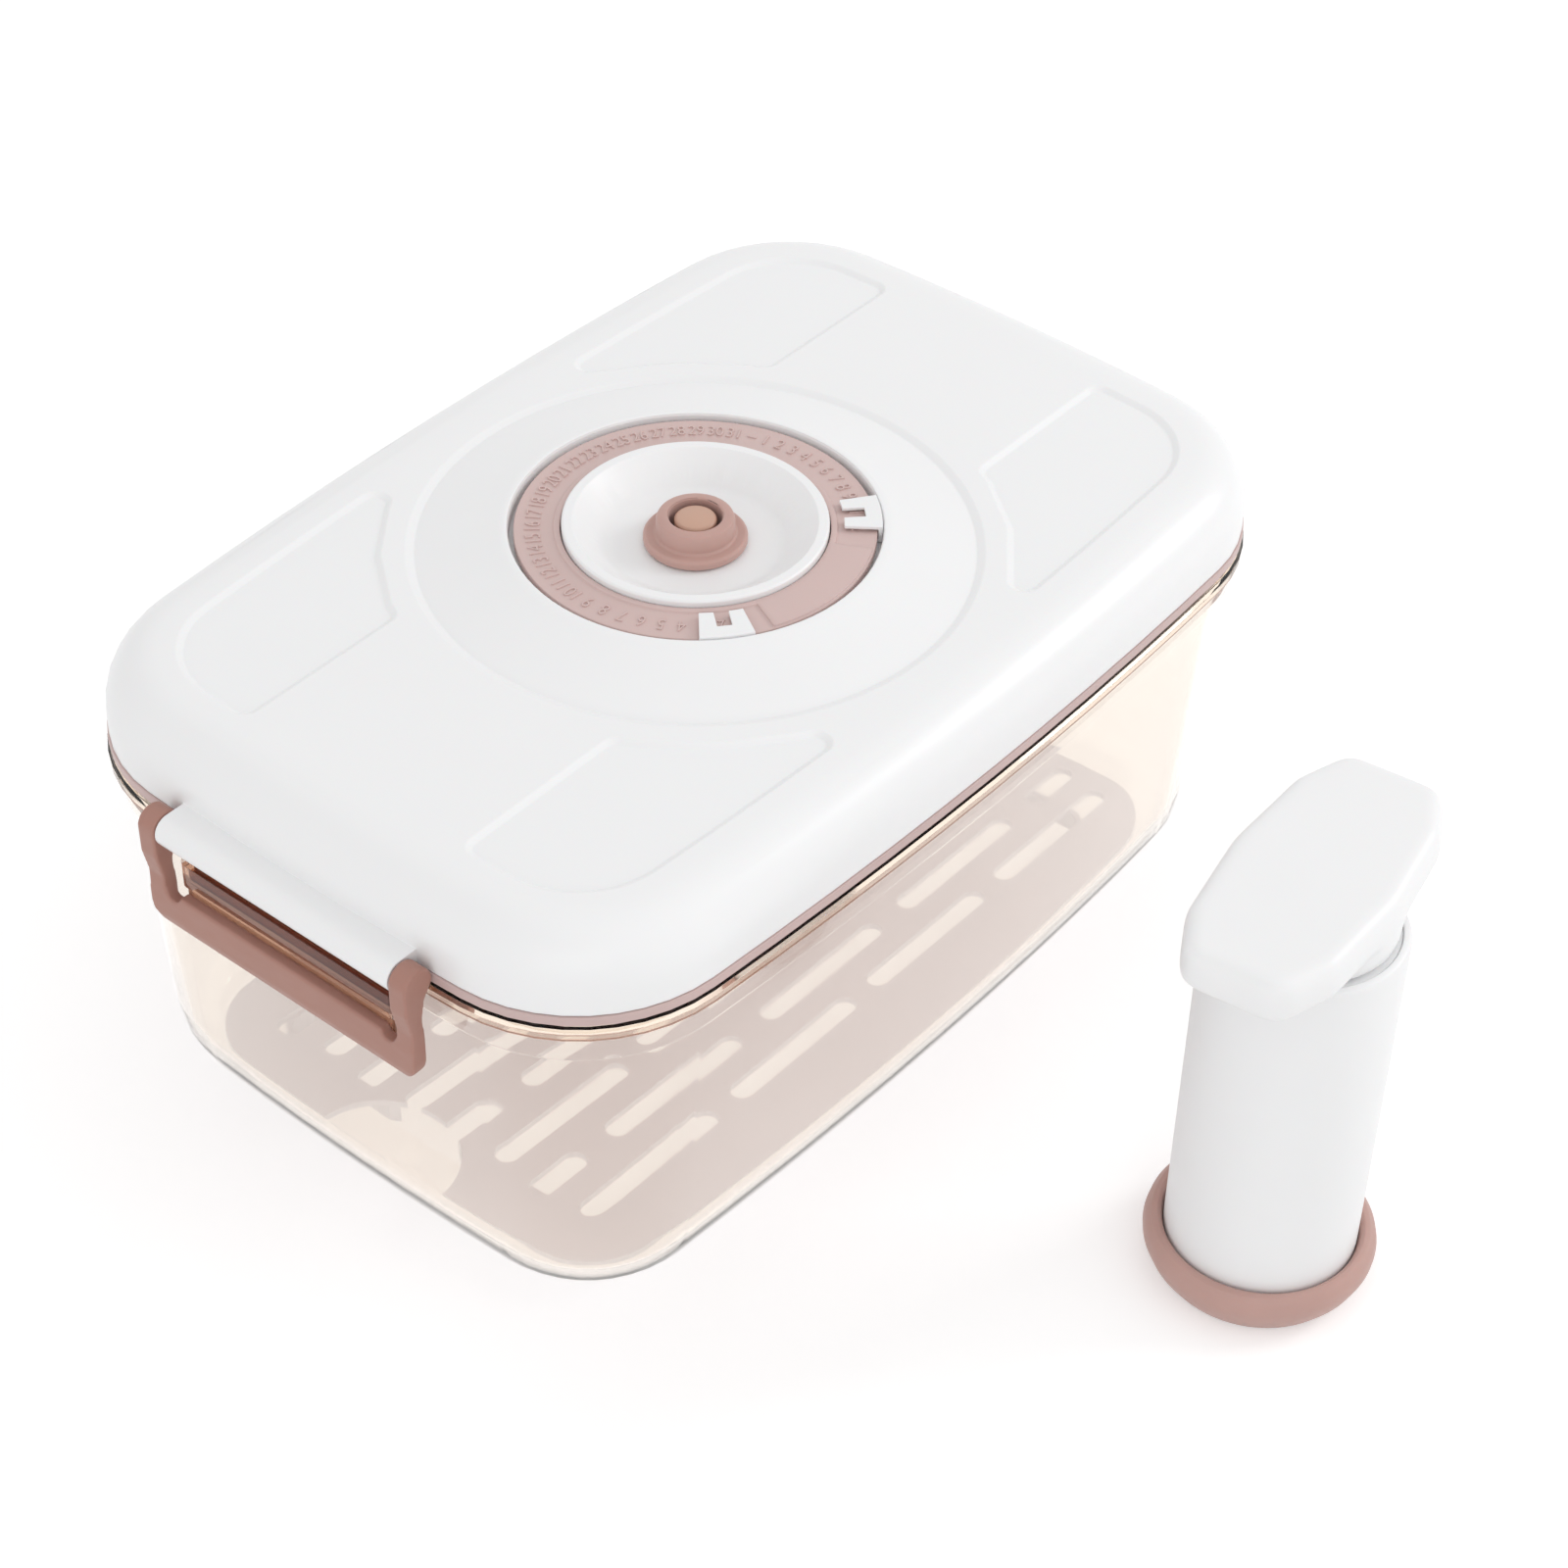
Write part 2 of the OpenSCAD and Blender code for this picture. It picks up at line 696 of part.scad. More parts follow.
spring_wire = 0.35;
spring_r = stem_r + 0.9;
spring_flare = 2;
spring_turns = 2.5;
spring_steps = 14;
spring_sides = 6;
spring_foot_z = valve_z + pocket_floor + spring_wire + 0.05;
spring_head_z = cap_z - spring_wire - 0.05;
module release_spring() color(steel) {
  rings = spring_turns * spring_steps;
  points = [for (i = [0 : rings]) for (k = [0 : spring_sides - 1])
    let (a = 360 * i / spring_steps, b = 360 * k / spring_sides,
      r = spring_r + spring_flare * (1 - i / rings) + spring_wire * cos(b),
      z = spring_foot_z + (spring_head_z - spring_foot_z) * i / rings
        + spring_wire * sin(b))
    [r * cos(a), r * sin(a), z]];
  sides = [for (i = [0 : rings - 1]) for (k = [0 : spring_sides - 1])
    let (m = (k + 1) % spring_sides)
    [i * spring_sides + k, i * spring_sides + m,
     (i + 1) * spring_sides + m, (i + 1) * spring_sides + k]];
  start = [for (k = [spring_sides - 1 : -1 : 0]) k];
  end = [for (k = [0 : spring_sides - 1]) rings * spring_sides + k];
  polyhedron(points, concat([start], sides, [end]), convexity = 4);
}

// Latch: two ears that hang from the lid's lip and a band between them whose
// upper edge hooks under the tub's ledge
hook_z = ledge_z - hook_play;
hook_drop = pivot_z - hook_z;
band_in = ledge_x - bite - pivot_x;
band_out = band_in + 3.1;
latch_low = hook_drop + latch_band_h;
ear_profile = [
  [0, 0],
  [boss_r, 0],
  [boss_r - 0.1, -hook_drop * 0.4],
  [band_out - 0.3, -hook_drop * 0.8],
  [band_out, -hook_drop - 2],
  [band_out, -latch_low + 3.4],
  [band_out - 0.6, -latch_low + 1.2],
  [band_out - 1.8, -latch_low + 0.2],
  [band_out - 3, -latch_low],
  [-0.2, -latch_low + 0.8],
  [-1.2, -latch_low + 3],
  [-1.2, -hook_drop + 1],
  [-0.6, -hook_drop * 0.62],
  [-1.6, -hook_drop * 0.3],
  [-boss_r * 0.8, -boss_r * 0.6]
];
latch_corner_r = 6;
scoop_r = 2;
scoop_side = 0.5;
rib_t = 2.2;
pin_reach = 6;

module latch_front_outline() difference() {
  union() {
    translate([-latch_w / 2, -latch_low + latch_corner_r])
      square([latch_w, latch_low - latch_corner_r + boss_r]);
    translate([-latch_w / 2 + latch_corner_r, -latch_low])
      square([latch_w - 2 * latch_corner_r, latch_corner_r + 1]);
    for (s = [-1, 1])
      translate([s * (latch_w / 2 - latch_corner_r),
        -latch_low + latch_corner_r])
        circle(latch_corner_r, $fn = 48);
  }
  translate([-window_half, -hook_drop])
    square([2 * window_half, hook_drop + boss_r + overlap]);
  for (s = [-1, 1])
    translate([s * (window_half - scoop_r - scoop_side), -hook_drop])
      circle(scoop_r, $fn = 32);
}

module latch() {
  translate([pivot_x, 0, pivot_z]) difference() {
    union() {
      intersection() {
        rotate([90, 0, 0]) translate([0, 0, -latch_w / 2])
          linear_extrude(latch_w) polygon(ear_profile);
        translate([-2 * boss_r, 0, 0]) rotate([90, 0, 90])
          linear_extrude(4 * boss_r) latch_front_outline();
      }
      for (s = [-1, 1]) translate([0, s * (latch_w / 2 - ear_t / 2), 0])
        rotate([90, 0, 0]) {
          cylinder(r = boss_r, h = ear_t, center = true, $fn = 48);
          translate([0, 0, s * pin_reach / 2])
            cylinder(r = pin_r, h = ear_t + pin_reach, center = true,
              $fn = 48);
        }
    }
    translate([band_in - 2 * boss_r, -window_half, -latch_low + rib_t])
      cube([2 * boss_r, 2 * window_half, latch_low]);
  }
}

module front_latch() color(rose) mirror([1, 0, 0]) latch();
module rear_latch() color(rose) latch();

// Hand pump
module at_pump() translate([pump_x, pump_y, 0]) children();
bore_r = barrel_r - barrel_t;
barrel_z = 4.2;
foot_z = 10;
foot_t = 2.4;
foot_h = 5;
recess_r = flange_r + 3.4;

module pump_barrel() color(white) at_pump() rotate_extrude() polygon([
  [bore_r, barrel_z],
  [barrel_r - 0.5, barrel_z],
  [barrel_r, barrel_z + 0.5],
  [barrel_r, barrel_h - 1.4],
  [barrel_r - 0.4, barrel_h - 0.4],
  [barrel_r - 1.3, barrel_h],
  [bore_r, barrel_h]
]);

// Soft foot that seals on the bowl's floor, and covers the barrel's end
module pump_cup() color(rose) at_pump() rotate_extrude() polygon([
  [recess_r, 0],
  [cup_r - 5.6, 0],
  [cup_r - 3.6, 0.9],
  [cup_r - 1.5, 4],
  [cup_r - 0.2, 7.2],
  [cup_r, 9],
  [cup_r - 0.5, cup_h - 1.8],
  [cup_r - 1.8, cup_h - 0.3],
  [barrel_r + 1.6, cup_h],
  [barrel_r + 0.7, cup_h - 0.6],
  [barrel_r + 0.1, cup_h - 2.4],
  [barrel_r + 0.1, barrel_z - snug],
  [recess_r, barrel_z - snug]
]);

module pump_foot() color(white) at_pump() difference() {
  rotate_extrude() polygon([
    [0, foot_z],
    [bore_r - 0.02, foot_z],
    [bore_r - 0.02, foot_z + foot_h],
    [bore_r - 1.8, foot_z + foot_h],
    [bore_r - 1.8, foot_z + foot_t],
    [0, foot_z + foot_t]
  ]);
  translate([0, 0, foot_z - overlap]) {
    cylinder(r = 1.8, h = foot_t + 2 * overlap, $fn = 32);
    for (i = [0 : vent_count - 1]) rotate([0, 0, i * 360 / vent_count])
      translate([5, 0, 0])
        cylinder(r = vent_r, h = foot_t + 2 * overlap, $fn = 24);
  }
}

// Umbrella valve: a thin disc over its vents on a stem with a bulb
module umbrella(plate_low, plate_top) rotate_extrude() polygon([
  [0, plate_low - 1.6],
  [1.2, plate_low - 1.6],
  [2.6, plate_low - snug],
  [1.7, plate_low - snug],
  [1.7, plate_top + snug],
  [8, plate_top + snug],
  [8, plate_top + 0.8],
  [2, plate_top + 1.5],
  [0, plate_top + 1.5]
]);

module inlet_flap() color(rose) at_pump()
  umbrella(foot_z, foot_z + foot_t);

head_z = foot_z + foot_t + 6;
head_h = 9;
seal_z = head_z + 3;
seal_h = 3;
plate_top_z = head_z + 2;
tube_z = head_z + head_h;
tube_t = 1.6;

module piston_head() color(white) at_pump() difference() {
  rotate_extrude() polygon([
    [0, head_z],
    [bore_r - free_gap, head_z],
    [bore_r - free_gap, seal_z],
    [bore_r - 2.6, seal_z],
    [bore_r - 2.6, seal_z + seal_h],
    [bore_r - free_gap, seal_z + seal_h],
    [bore_r - free_gap, tube_z - snug],
    [plunger_r - tube_t - 2.4, tube_z - snug],
    [plunger_r - tube_t - 2.4, plate_top_z],
    [0, plate_top_z]
  ]);
  translate([0, 0, head_z - overlap]) {
    cylinder(r = 1.8, h = 4, $fn = 32);
    for (i = [0 : vent_count - 1]) rotate([0, 0, i * 360 / vent_count])
      translate([5, 0, 0]) cylinder(r = vent_r, h = 4, $fn = 24);
  }
}

module piston_seal() color(rose) at_pump() rotate_extrude() polygon([
  [bore_r - 2.5, seal_z + snug],
  [bore_r - 0.8, seal_z + snug],
  [bore_r - running, seal_z + 0.9],
  [bore_r - running, seal_z + seal_h - 0.9],
  [bore_r - 0.8, seal_z + seal_h - snug],
  [bore_r - 2.5, seal_z + seal_h - snug]
]);

module outlet_flap() color(rose) at_pump()
  umbrella(head_z, plate_top_z);

boss_z = barrel_h + 0.5;
module pump_plunger() color(white) at_pump() rotate_extrude() polygon([
  [plunger_r - tube_t, tube_z],
  [plunger_r, tube_z],
  [plunger_r, boss_z - snug],
  [plunger_r - tube_t, boss_z - snug]
]);

collar_h = 7;
module pump_collar() color(white) at_pump() rotate_extrude() polygon([
  [plunger_r + running, barrel_h - collar_h],
  [bore_r - 0.02, barrel_h - collar_h],
  [bore_r - 0.02, barrel_h - 0.4],
  [plunger_r + running, barrel_h - 0.4]
]);

// Handle: a broad paddle with a round boss, plugged into the plunger
handle_boss_r = plunger_r + 1.7;
handle_z = boss_z + 5.6;
handle_corner = 6;
shoulder_x = handle_l * 0.3;
shoulder_w = (handle_end_w + handle_mid_w) / 2 + 2;
edge_r = 3.6;
plug_h = 6;
module handle_slab(inset, height) hull() {
  cylinder(r = handle_mid_w / 2 - inset, h = height, $fn = 64);
  for (sx = [-1, 1], sy = [-1, 1]) {
    translate([sx * (handle_l / 2 - handle_corner),
      sy * (handle_end_w / 2 - handle_corner), 0])
      cylinder(r = handle_corner - inset, h = height, $fn = 32);
    translate([sx * shoulder_x, sy * (shoulder_w / 2 - handle_corner), 0])
      cylinder(r = handle_corner - inset, h = height, $fn = 32);
  }
}

module pump_handle() color(white) at_pump() rotate([0, 0, handle_turn]) {
  translate([0, 0, boss_z])
    cylinder(r = handle_boss_r, h = handle_z - boss_z + overlap);
  translate([0, 0, boss_z - plug_h])
    cylinder(r = plunger_r - tube_t - 0.02, h = plug_h + overlap);
  translate([0, 0, handle_z]) hull() {
    handle_slab(1.2, 0.01);
    translate([0, 0, 1.2]) handle_slab(0, handle_t - edge_r - 1.2);
    for (a = [30, 60, 90])
      translate([0, 0, handle_t - edge_r * (1 - sin(a)) - 0.01])
        handle_slab(edge_r * (1 - cos(a)), 0.01);
  }
}

tub();
drain_tray();
lid_shell();
lid_inner_plate();
lid_gasket();
date_ring();
day_pointer();
month_pointer();
dial_bowl();
bowl_gasket();
valve_guard();
valve_seal();
release_button();
release_spring();
vent_washer();
front_latch();
rear_latch();
pump_barrel();
pump_cup();
pump_foot();
inlet_flap();
pump_collar();
pump_plunger();
piston_head();
piston_seal();
outlet_flap();
pump_handle();
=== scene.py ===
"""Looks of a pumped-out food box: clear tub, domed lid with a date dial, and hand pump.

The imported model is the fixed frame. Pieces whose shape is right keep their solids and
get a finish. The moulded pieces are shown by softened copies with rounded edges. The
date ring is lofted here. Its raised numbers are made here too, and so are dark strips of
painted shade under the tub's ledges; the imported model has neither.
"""

import json
import logging
import math
from dataclasses import dataclass
from enum import Enum

import bmesh
import bpy
from mathutils import Matrix, Vector

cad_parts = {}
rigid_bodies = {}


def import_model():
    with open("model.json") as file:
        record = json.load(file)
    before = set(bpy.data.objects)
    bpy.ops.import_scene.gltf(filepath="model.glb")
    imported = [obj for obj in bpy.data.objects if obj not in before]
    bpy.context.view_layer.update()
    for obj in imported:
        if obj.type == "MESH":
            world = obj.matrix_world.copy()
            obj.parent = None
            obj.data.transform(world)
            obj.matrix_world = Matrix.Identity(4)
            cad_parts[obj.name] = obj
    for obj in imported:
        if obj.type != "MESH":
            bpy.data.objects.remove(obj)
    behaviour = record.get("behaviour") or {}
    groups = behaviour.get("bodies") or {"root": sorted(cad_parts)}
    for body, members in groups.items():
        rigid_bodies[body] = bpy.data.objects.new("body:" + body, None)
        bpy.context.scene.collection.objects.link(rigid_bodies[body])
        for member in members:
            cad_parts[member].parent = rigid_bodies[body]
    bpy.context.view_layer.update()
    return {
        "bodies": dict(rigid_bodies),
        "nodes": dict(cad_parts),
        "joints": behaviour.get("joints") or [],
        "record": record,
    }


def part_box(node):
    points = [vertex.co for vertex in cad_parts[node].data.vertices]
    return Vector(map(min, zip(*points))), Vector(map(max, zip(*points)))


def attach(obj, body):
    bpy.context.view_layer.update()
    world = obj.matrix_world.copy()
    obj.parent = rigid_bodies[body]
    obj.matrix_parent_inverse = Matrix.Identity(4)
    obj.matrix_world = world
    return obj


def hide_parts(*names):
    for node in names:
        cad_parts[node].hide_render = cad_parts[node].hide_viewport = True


LOG = logging.getLogger("canister")
MM = 0.001
Colour = tuple[float, float, float]
Place = tuple[float, float, float]
Zone = tuple[Place, Place]


class Slot(Enum):
    """Material slots of the record."""

    CLEAR = "tinted_clear"
    TRAY = "tray_plastic"
    WHITE = "white_plastic"
    ROSE = "rose_plastic"
    DIAL = "dial_plastic"
    SOFT = "soft_rubber"
    VALVE = "valve_rubber"
    STEEL = "spring_steel"


class Body(Enum):
    """Bodies of the frame that pieces ride on."""

    TUB = "tub_body"
    TRAY = "tray_body"
    LID = "lid_body"
    BUTTON = "button_body"
    DAY = "day_body"
    MONTH = "month_body"
    FRONT_LATCH = "front_latch_body"
    REAR_LATCH = "rear_latch_body"
    PUMP = "pump_body"
    PLUNGER = "plunger_body"


class Recipe:
    """A material's node tree, built step by step."""

    edge_blend = 0.35
    edge_start = 0.6
    gloss_span = (0.3, 0.7)

    def __init__(self, name: str) -> None:
        """Starts an empty material with a Principled surface.

        Args:
            name: The material's name.
        """
        self.material = bpy.data.materials.new(name)
        self.material.use_nodes = True
        self.tree = self.material.node_tree
        self.tree.nodes.clear()
        output = self.node("ShaderNodeOutputMaterial")
        self.surface = self.node("ShaderNodeBsdfPrincipled")
        self.link(self.surface.outputs["BSDF"], output.inputs["Surface"])
        self.place = self.node("ShaderNodeTexCoord").outputs["Object"]

    def node(self, kind: str) -> bpy.types.Node:
        """Adds one node.

        Args:
            kind: The node's kind.

        Returns:
            The node.
        """
        return self.tree.nodes.new(kind)

    def link(self, source: bpy.types.NodeSocket, target: bpy.types.NodeSocket) -> None:
        """Links one socket to another.

        Args:
            source: The socket that gives the value.
            target: The socket that takes it.
        """
        self.tree.links.new(source, target)

    def set(self, **values: float | tuple[float, ...]) -> None:
        """Sets the surface's own sockets.

        Args:
            **values: Socket names with underscores for spaces, and their values.
        """
        for name, value in values.items():
            self.surface.inputs[name.replace("_", " ")].default_value = value

    def noise(self, scale: float, detail: float = 2.0,
              stretch: Place = (1, 1, 1)) -> bpy.types.NodeSocket:
        """Adds a noise pattern on Object coordinates.

        Args:
            scale: Cycles per metre.
            detail: Octaves of the noise.
            stretch: Scale along each axis.

        Returns:
            The socket of the noise's value.
        """
        mapping = self.node("ShaderNodeMapping")
        mapping.inputs["Scale"].default_value = stretch
        self.link(self.place, mapping.inputs["Vector"])
        noise = self.node("ShaderNodeTexNoise")
        noise.inputs["Scale"].default_value = scale
        noise.inputs["Detail"].default_value = detail
        self.link(mapping.outputs["Vector"], noise.inputs["Vector"])
        return noise.outputs["Fac"]

    def blend(self, value: bpy.types.NodeSocket, low: Colour, high: Colour,
              start: float = 0.35, end: float = 0.65) -> None:
        """Colours the surface between two tones by a pattern.

        Args:
            value: The pattern.
            low: The tone where the pattern is low.
            high: The tone where it is high.
            start: Pattern value of the low tone.
            end: Pattern value of the high tone.
        """
        ramp = self.node("ShaderNodeValToRGB")
        ramp.color_ramp.elements[0].position = start
        ramp.color_ramp.elements[0].color = (*low, 1.0)
        ramp.color_ramp.elements[1].position = end
        ramp.color_ramp.elements[1].color = (*high, 1.0)
        self.link(value, ramp.inputs["Fac"])
        self.link(ramp.outputs["Color"], self.surface.inputs["Base Color"])

    def tint(self, colour: Colour, share: bpy.types.NodeSocket) -> None:
        """Blends the base colour towards a colour.

        Args:
            colour: The colour.
            share: How much of it shows, from 0 to 1.
        """
        socket = self.surface.inputs["Base Color"]
        plain = socket.links[0].from_socket
        mix = self.node("ShaderNodeMix")
        mix.data_type = "RGBA"
        mix.inputs["B"].default_value = (*colour, 1.0)
        self.link(share, mix.inputs["Factor"])
        self.link(plain, mix.inputs["A"])
        self.link(mix.outputs["Result"], socket)

    def glow(self, colour: Colour, strength: float) -> None:
        """Paints a glow: emission where the surface is seen edge-on, though no lamp lights it
        there.

        Args:
            colour: The colour of the painted glow.
            strength: Its strength where the surface is seen edge-on.
        """
        facing = self.node("ShaderNodeLayerWeight")
        facing.inputs["Blend"].default_value = self.edge_blend
        edge = self.node("ShaderNodeMapRange")
        edge.inputs["From Min"].default_value = self.edge_start
        edge.inputs["To Max"].default_value = strength
        self.link(facing.outputs["Facing"], edge.inputs["Value"])
        self.link(edge.outputs["Result"], self.surface.inputs["Emission Strength"])
        self.set(Emission_Color=(*colour, 1.0))

    def zone(self, box: Zone) -> bpy.types.NodeSocket:
        """Makes a value that is 1 in a box and its mirror images across X and Y.

        Args:
            box: The box's low and high corners, in metres.

        Returns:
            The value's socket.
        """
        parts = self.node("ShaderNodeSeparateXYZ")
        self.link(self.place, parts.inputs["Vector"])
        sides = (self.maths("ABSOLUTE", parts.outputs["X"]),
                 self.maths("ABSOLUTE", parts.outputs["Y"]), parts.outputs["Z"])
        low, high = box
        value = self.maths("GREATER_THAN", sides[2], low[2])
        for side, least, most in zip(sides, low, high):
            over = self.maths("GREATER_THAN", side, least)
            under = self.maths("LESS_THAN", side, most)
            value = self.maths("MULTIPLY", value, self.maths("MULTIPLY", over, under))
        return value

    def maths(self, operation: str, first: bpy.types.NodeSocket,
              second: bpy.types.NodeSocket | float = 0.0) -> bpy.types.NodeSocket:
        """Adds one sum and returns its value.

        Args:
            operation: The sum's name.
            first: Its first value.
            second: Its second value.

        Returns:
            The socket of the result.
        """
        step = self.node("ShaderNodeMath")
        step.operation = operation
        self.link(first, step.inputs[0])
        if isinstance(second, float):
            step.inputs[1].default_value = second
        else:
            self.link(second, step.inputs[1])
        return step.outputs["Value"]

    def gloss(self, value: bpy.types.NodeSocket, low: float, high: float) -> None:
        """Varies the roughness between two values by a pattern.

        Args:
            value: The pattern.
            low: The roughness where the pattern is low.
            high: The roughness where it is high.
        """
        spread = self.node("ShaderNodeMapRange")
        spread.inputs["From Min"].default_value = self.gloss_span[0]
        spread.inputs["From Max"].default_value = self.gloss_span[1]
        spread.inputs["To Min"].default_value = low
        spread.inputs["To Max"].default_value = high
        self.link(value, spread.inputs["Value"])
        self.link(spread.outputs["Result"], self.surface.inputs["Roughness"])

    def bump(self, value: bpy.types.NodeSocket, strength: float, depth: float) -> None:
        """Raises the surface by a pattern.

        Args:
            value: The pattern.
            strength: How strongly it shows, from 0 to 1.
            depth: Its height in metres.
        """
        bump = self.node("ShaderNodeBump")
        bump.inputs["Strength"].default_value = strength
        bump.inputs["Distance"].default_value = depth
        self.link(value, bump.inputs["Height"])
        self.link(bump.outputs["Normal"], self.surface.inputs["Normal"])


@dataclass(frozen=True)
class MouldedPlastic:
    """Opaque moulded plastic with a fine spark-eroded grain and faint flow marks."""

    name: str
    slot: Slot
    colour: Colour
    spread: float = 0.02
    roughness: tuple[float, float] = (0.34, 0.42)
    grain: float = 2600.0
    grain_depth: float = 0.000012
    grain_strength: float = 0.18

    def material(self) -> bpy.types.Material:
        """Builds the material.

        Returns:
            The material.
        """
        recipe = Recipe(self.name)
        dark = tuple(c * (1.0 - self.spread) for c in self.colour)
        recipe.blend(recipe.noise(28.0, 3.0), dark, self.colour)
        recipe.gloss(recipe.noise(160.0, 4.0, (1.0, 1.0, 2.5)), *self.roughness)
        recipe.bump(recipe.noise(self.grain, 2.0), self.grain_strength, self.grain_depth)
        recipe.set(IOR=1.48, Subsurface_Weight=0.04, Subsurface_Scale=0.002)
        return recipe.material


@dataclass(frozen=True)
class SoftRubber:
    """Soft silicone: dull, slightly sheeny, with a fine powdery grain."""

    name: str
    slot: Slot
    colour: Colour

    def material(self) -> bpy.types.Material:
        """Builds the material.

        Returns:
            The material.
        """
        recipe = Recipe(self.name)
        dark = tuple(c * 0.95 for c in self.colour)
        recipe.blend(recipe.noise(60.0, 4.0), dark, self.colour)
        recipe.gloss(recipe.noise(420.0, 3.0), 0.48, 0.6)
        recipe.bump(recipe.noise(3200.0, 3.0), 0.3, 0.00002)
        recipe.set(IOR=1.42, Sheen_Weight=0.12, Sheen_Roughness=0.5,
                   Subsurface_Weight=0.08, Subsurface_Scale=0.0015)
        return recipe.material


# Box of painted shade: the tub's end walls in the recess behind each latch, under the lid's lip.
LEDGE_SHADE_ZONE: Zone = ((0.1275, -1.0, 0.0845), (1.0, 0.0318, 0.0985))
RIM_ZONE: Zone = ((-1.0, -1.0, 0.0990), (1.0, 1.0, 1.0))


@dataclass(frozen=True)
class ClearPlastic:
    """Clear tinted plastic with faint moulding ripples."""

    name: str
    slot: Slot
    tint: Colour
    haze: tuple[float, float] = (0.015, 0.05)
    through: float = 1.0
    shade: float = 0.25
    # Dark brown painted on as shade in the recess behind each latch.
    ledge: Colour | None = None
    rim: Colour | None = None
    # Strength of a painted glow, emission where the surface is seen edge-on.
    edge_glow: float = 0.0

    def material(self) -> bpy.types.Material:
        """Builds the material.

        Returns:
            The material.
        """
        recipe = Recipe(self.name)
        dark = tuple(c * 0.985 for c in self.tint)
        recipe.blend(recipe.noise(18.0, 2.0), dark, self.tint)
        # Painted shade: dark brown on the wall in the recess behind each latch.
        if self.ledge:
            recipe.tint(self.ledge, recipe.zone(LEDGE_SHADE_ZONE))
        if self.rim:
            recipe.tint(self.rim, recipe.zone(RIM_ZONE))
        recipe.gloss(recipe.noise(90.0, 3.0), *self.haze)
        recipe.bump(recipe.noise(55.0, 1.0, (1.0, 1.0, 0.5)), 0.05, 0.0004)
        recipe.set(IOR=1.46, Transmission_Weight=self.through)
        # Painted glow: emission where the surface is seen edge-on.
        if self.edge_glow:
            recipe.glow(self.tint, self.edge_glow)
        path = recipe.node("ShaderNodeLightPath")
        lighting = recipe.maths("MAXIMUM", path.outputs["Is Shadow Ray"],
                                path.outputs["Is Diffuse Ray"])
        cover = recipe.node("ShaderNodeMapRange")
        cover.inputs["To Min"].default_value = 1.0
        cover.inputs["To Max"].default_value = self.shade
        recipe.link(lighting, cover.inputs["Value"])
        recipe.link(cover.outputs["Result"], recipe.surface.inputs["Alpha"])
        return recipe.material


@dataclass(frozen=True)
class DrawnSteel:
    """Drawn spring wire."""

    name: str
    slot: Slot
    colour: Colour

    def material(self) -> bpy.types.Material:
        """Builds the material.

        Returns:
            The material.
        """
        recipe = Recipe(self.name)
        dark = tuple(c * 0.85 for c in self.colour)
        recipe.blend(recipe.noise(500.0, 2.0), dark, self.colour)
        recipe.gloss(recipe.noise(900.0, 2.0), 0.25, 0.4)
        recipe.set(Metallic=1.0)
        return recipe.material


WHITE = MouldedPlastic("white_satin", Slot.WHITE, (0.87, 0.87, 0.875), 0.012)
SHELL = MouldedPlastic("white_shell", Slot.WHITE, (0.87, 0.87, 0.875), 0.006,
                       (0.285, 0.295), grain_strength=0.06)
ROSE = MouldedPlastic("rose_satin", Slot.ROSE, (0.395, 0.20, 0.158), 0.05,
                      (0.38, 0.48), 1800.0, 0.00003, 0.35)
BUTTON = MouldedPlastic("peach_satin", Slot.ROSE, (0.57, 0.35, 0.26), 0.04, (0.34, 0.42))
PLATE = MouldedPlastic("dusty_plate", Slot.ROSE, (0.60, 0.45, 0.43), 0.05, (0.4, 0.5))
DIAL = MouldedPlastic("dial_satin", Slot.DIAL, (0.63, 0.47, 0.445), 0.03, (0.36, 0.46))
TRAY = ClearPlastic("cloudy_tray", Slot.TRAY, (0.92, 0.87, 0.86), (0.3, 0.4), 0.25, 0.2)
# The tub: painted shade behind the latches, and a painted glow where its edges are seen edge-on.
CLEAR = ClearPlastic("tinted_clear", Slot.CLEAR, (0.985, 0.94, 0.885), shade=0.0,
                     ledge=(0.34, 0.13, 0.07), rim=(0.93, 0.72, 0.55), edge_glow=0.28)
# Dark amber for the strips of painted shade under the tub's ledges.
SHADE_STRIP = ClearPlastic("ledge_shade_amber", Slot.CLEAR, (0.55, 0.30, 0.20), (0.1, 0.2), 0.6, 0.3)
SOFT = SoftRubber("pale_rubber", Slot.SOFT, (0.62, 0.45, 0.42))
VALVE = SoftRubber("rose_rubber", Slot.VALVE, (0.53, 0.33, 0.29))
STEEL = DrawnSteel("spring_wire", Slot.STEEL, (0.62, 0.62, 0.64))

Finish = MouldedPlastic | SoftRubber | ClearPlastic | DrawnSteel


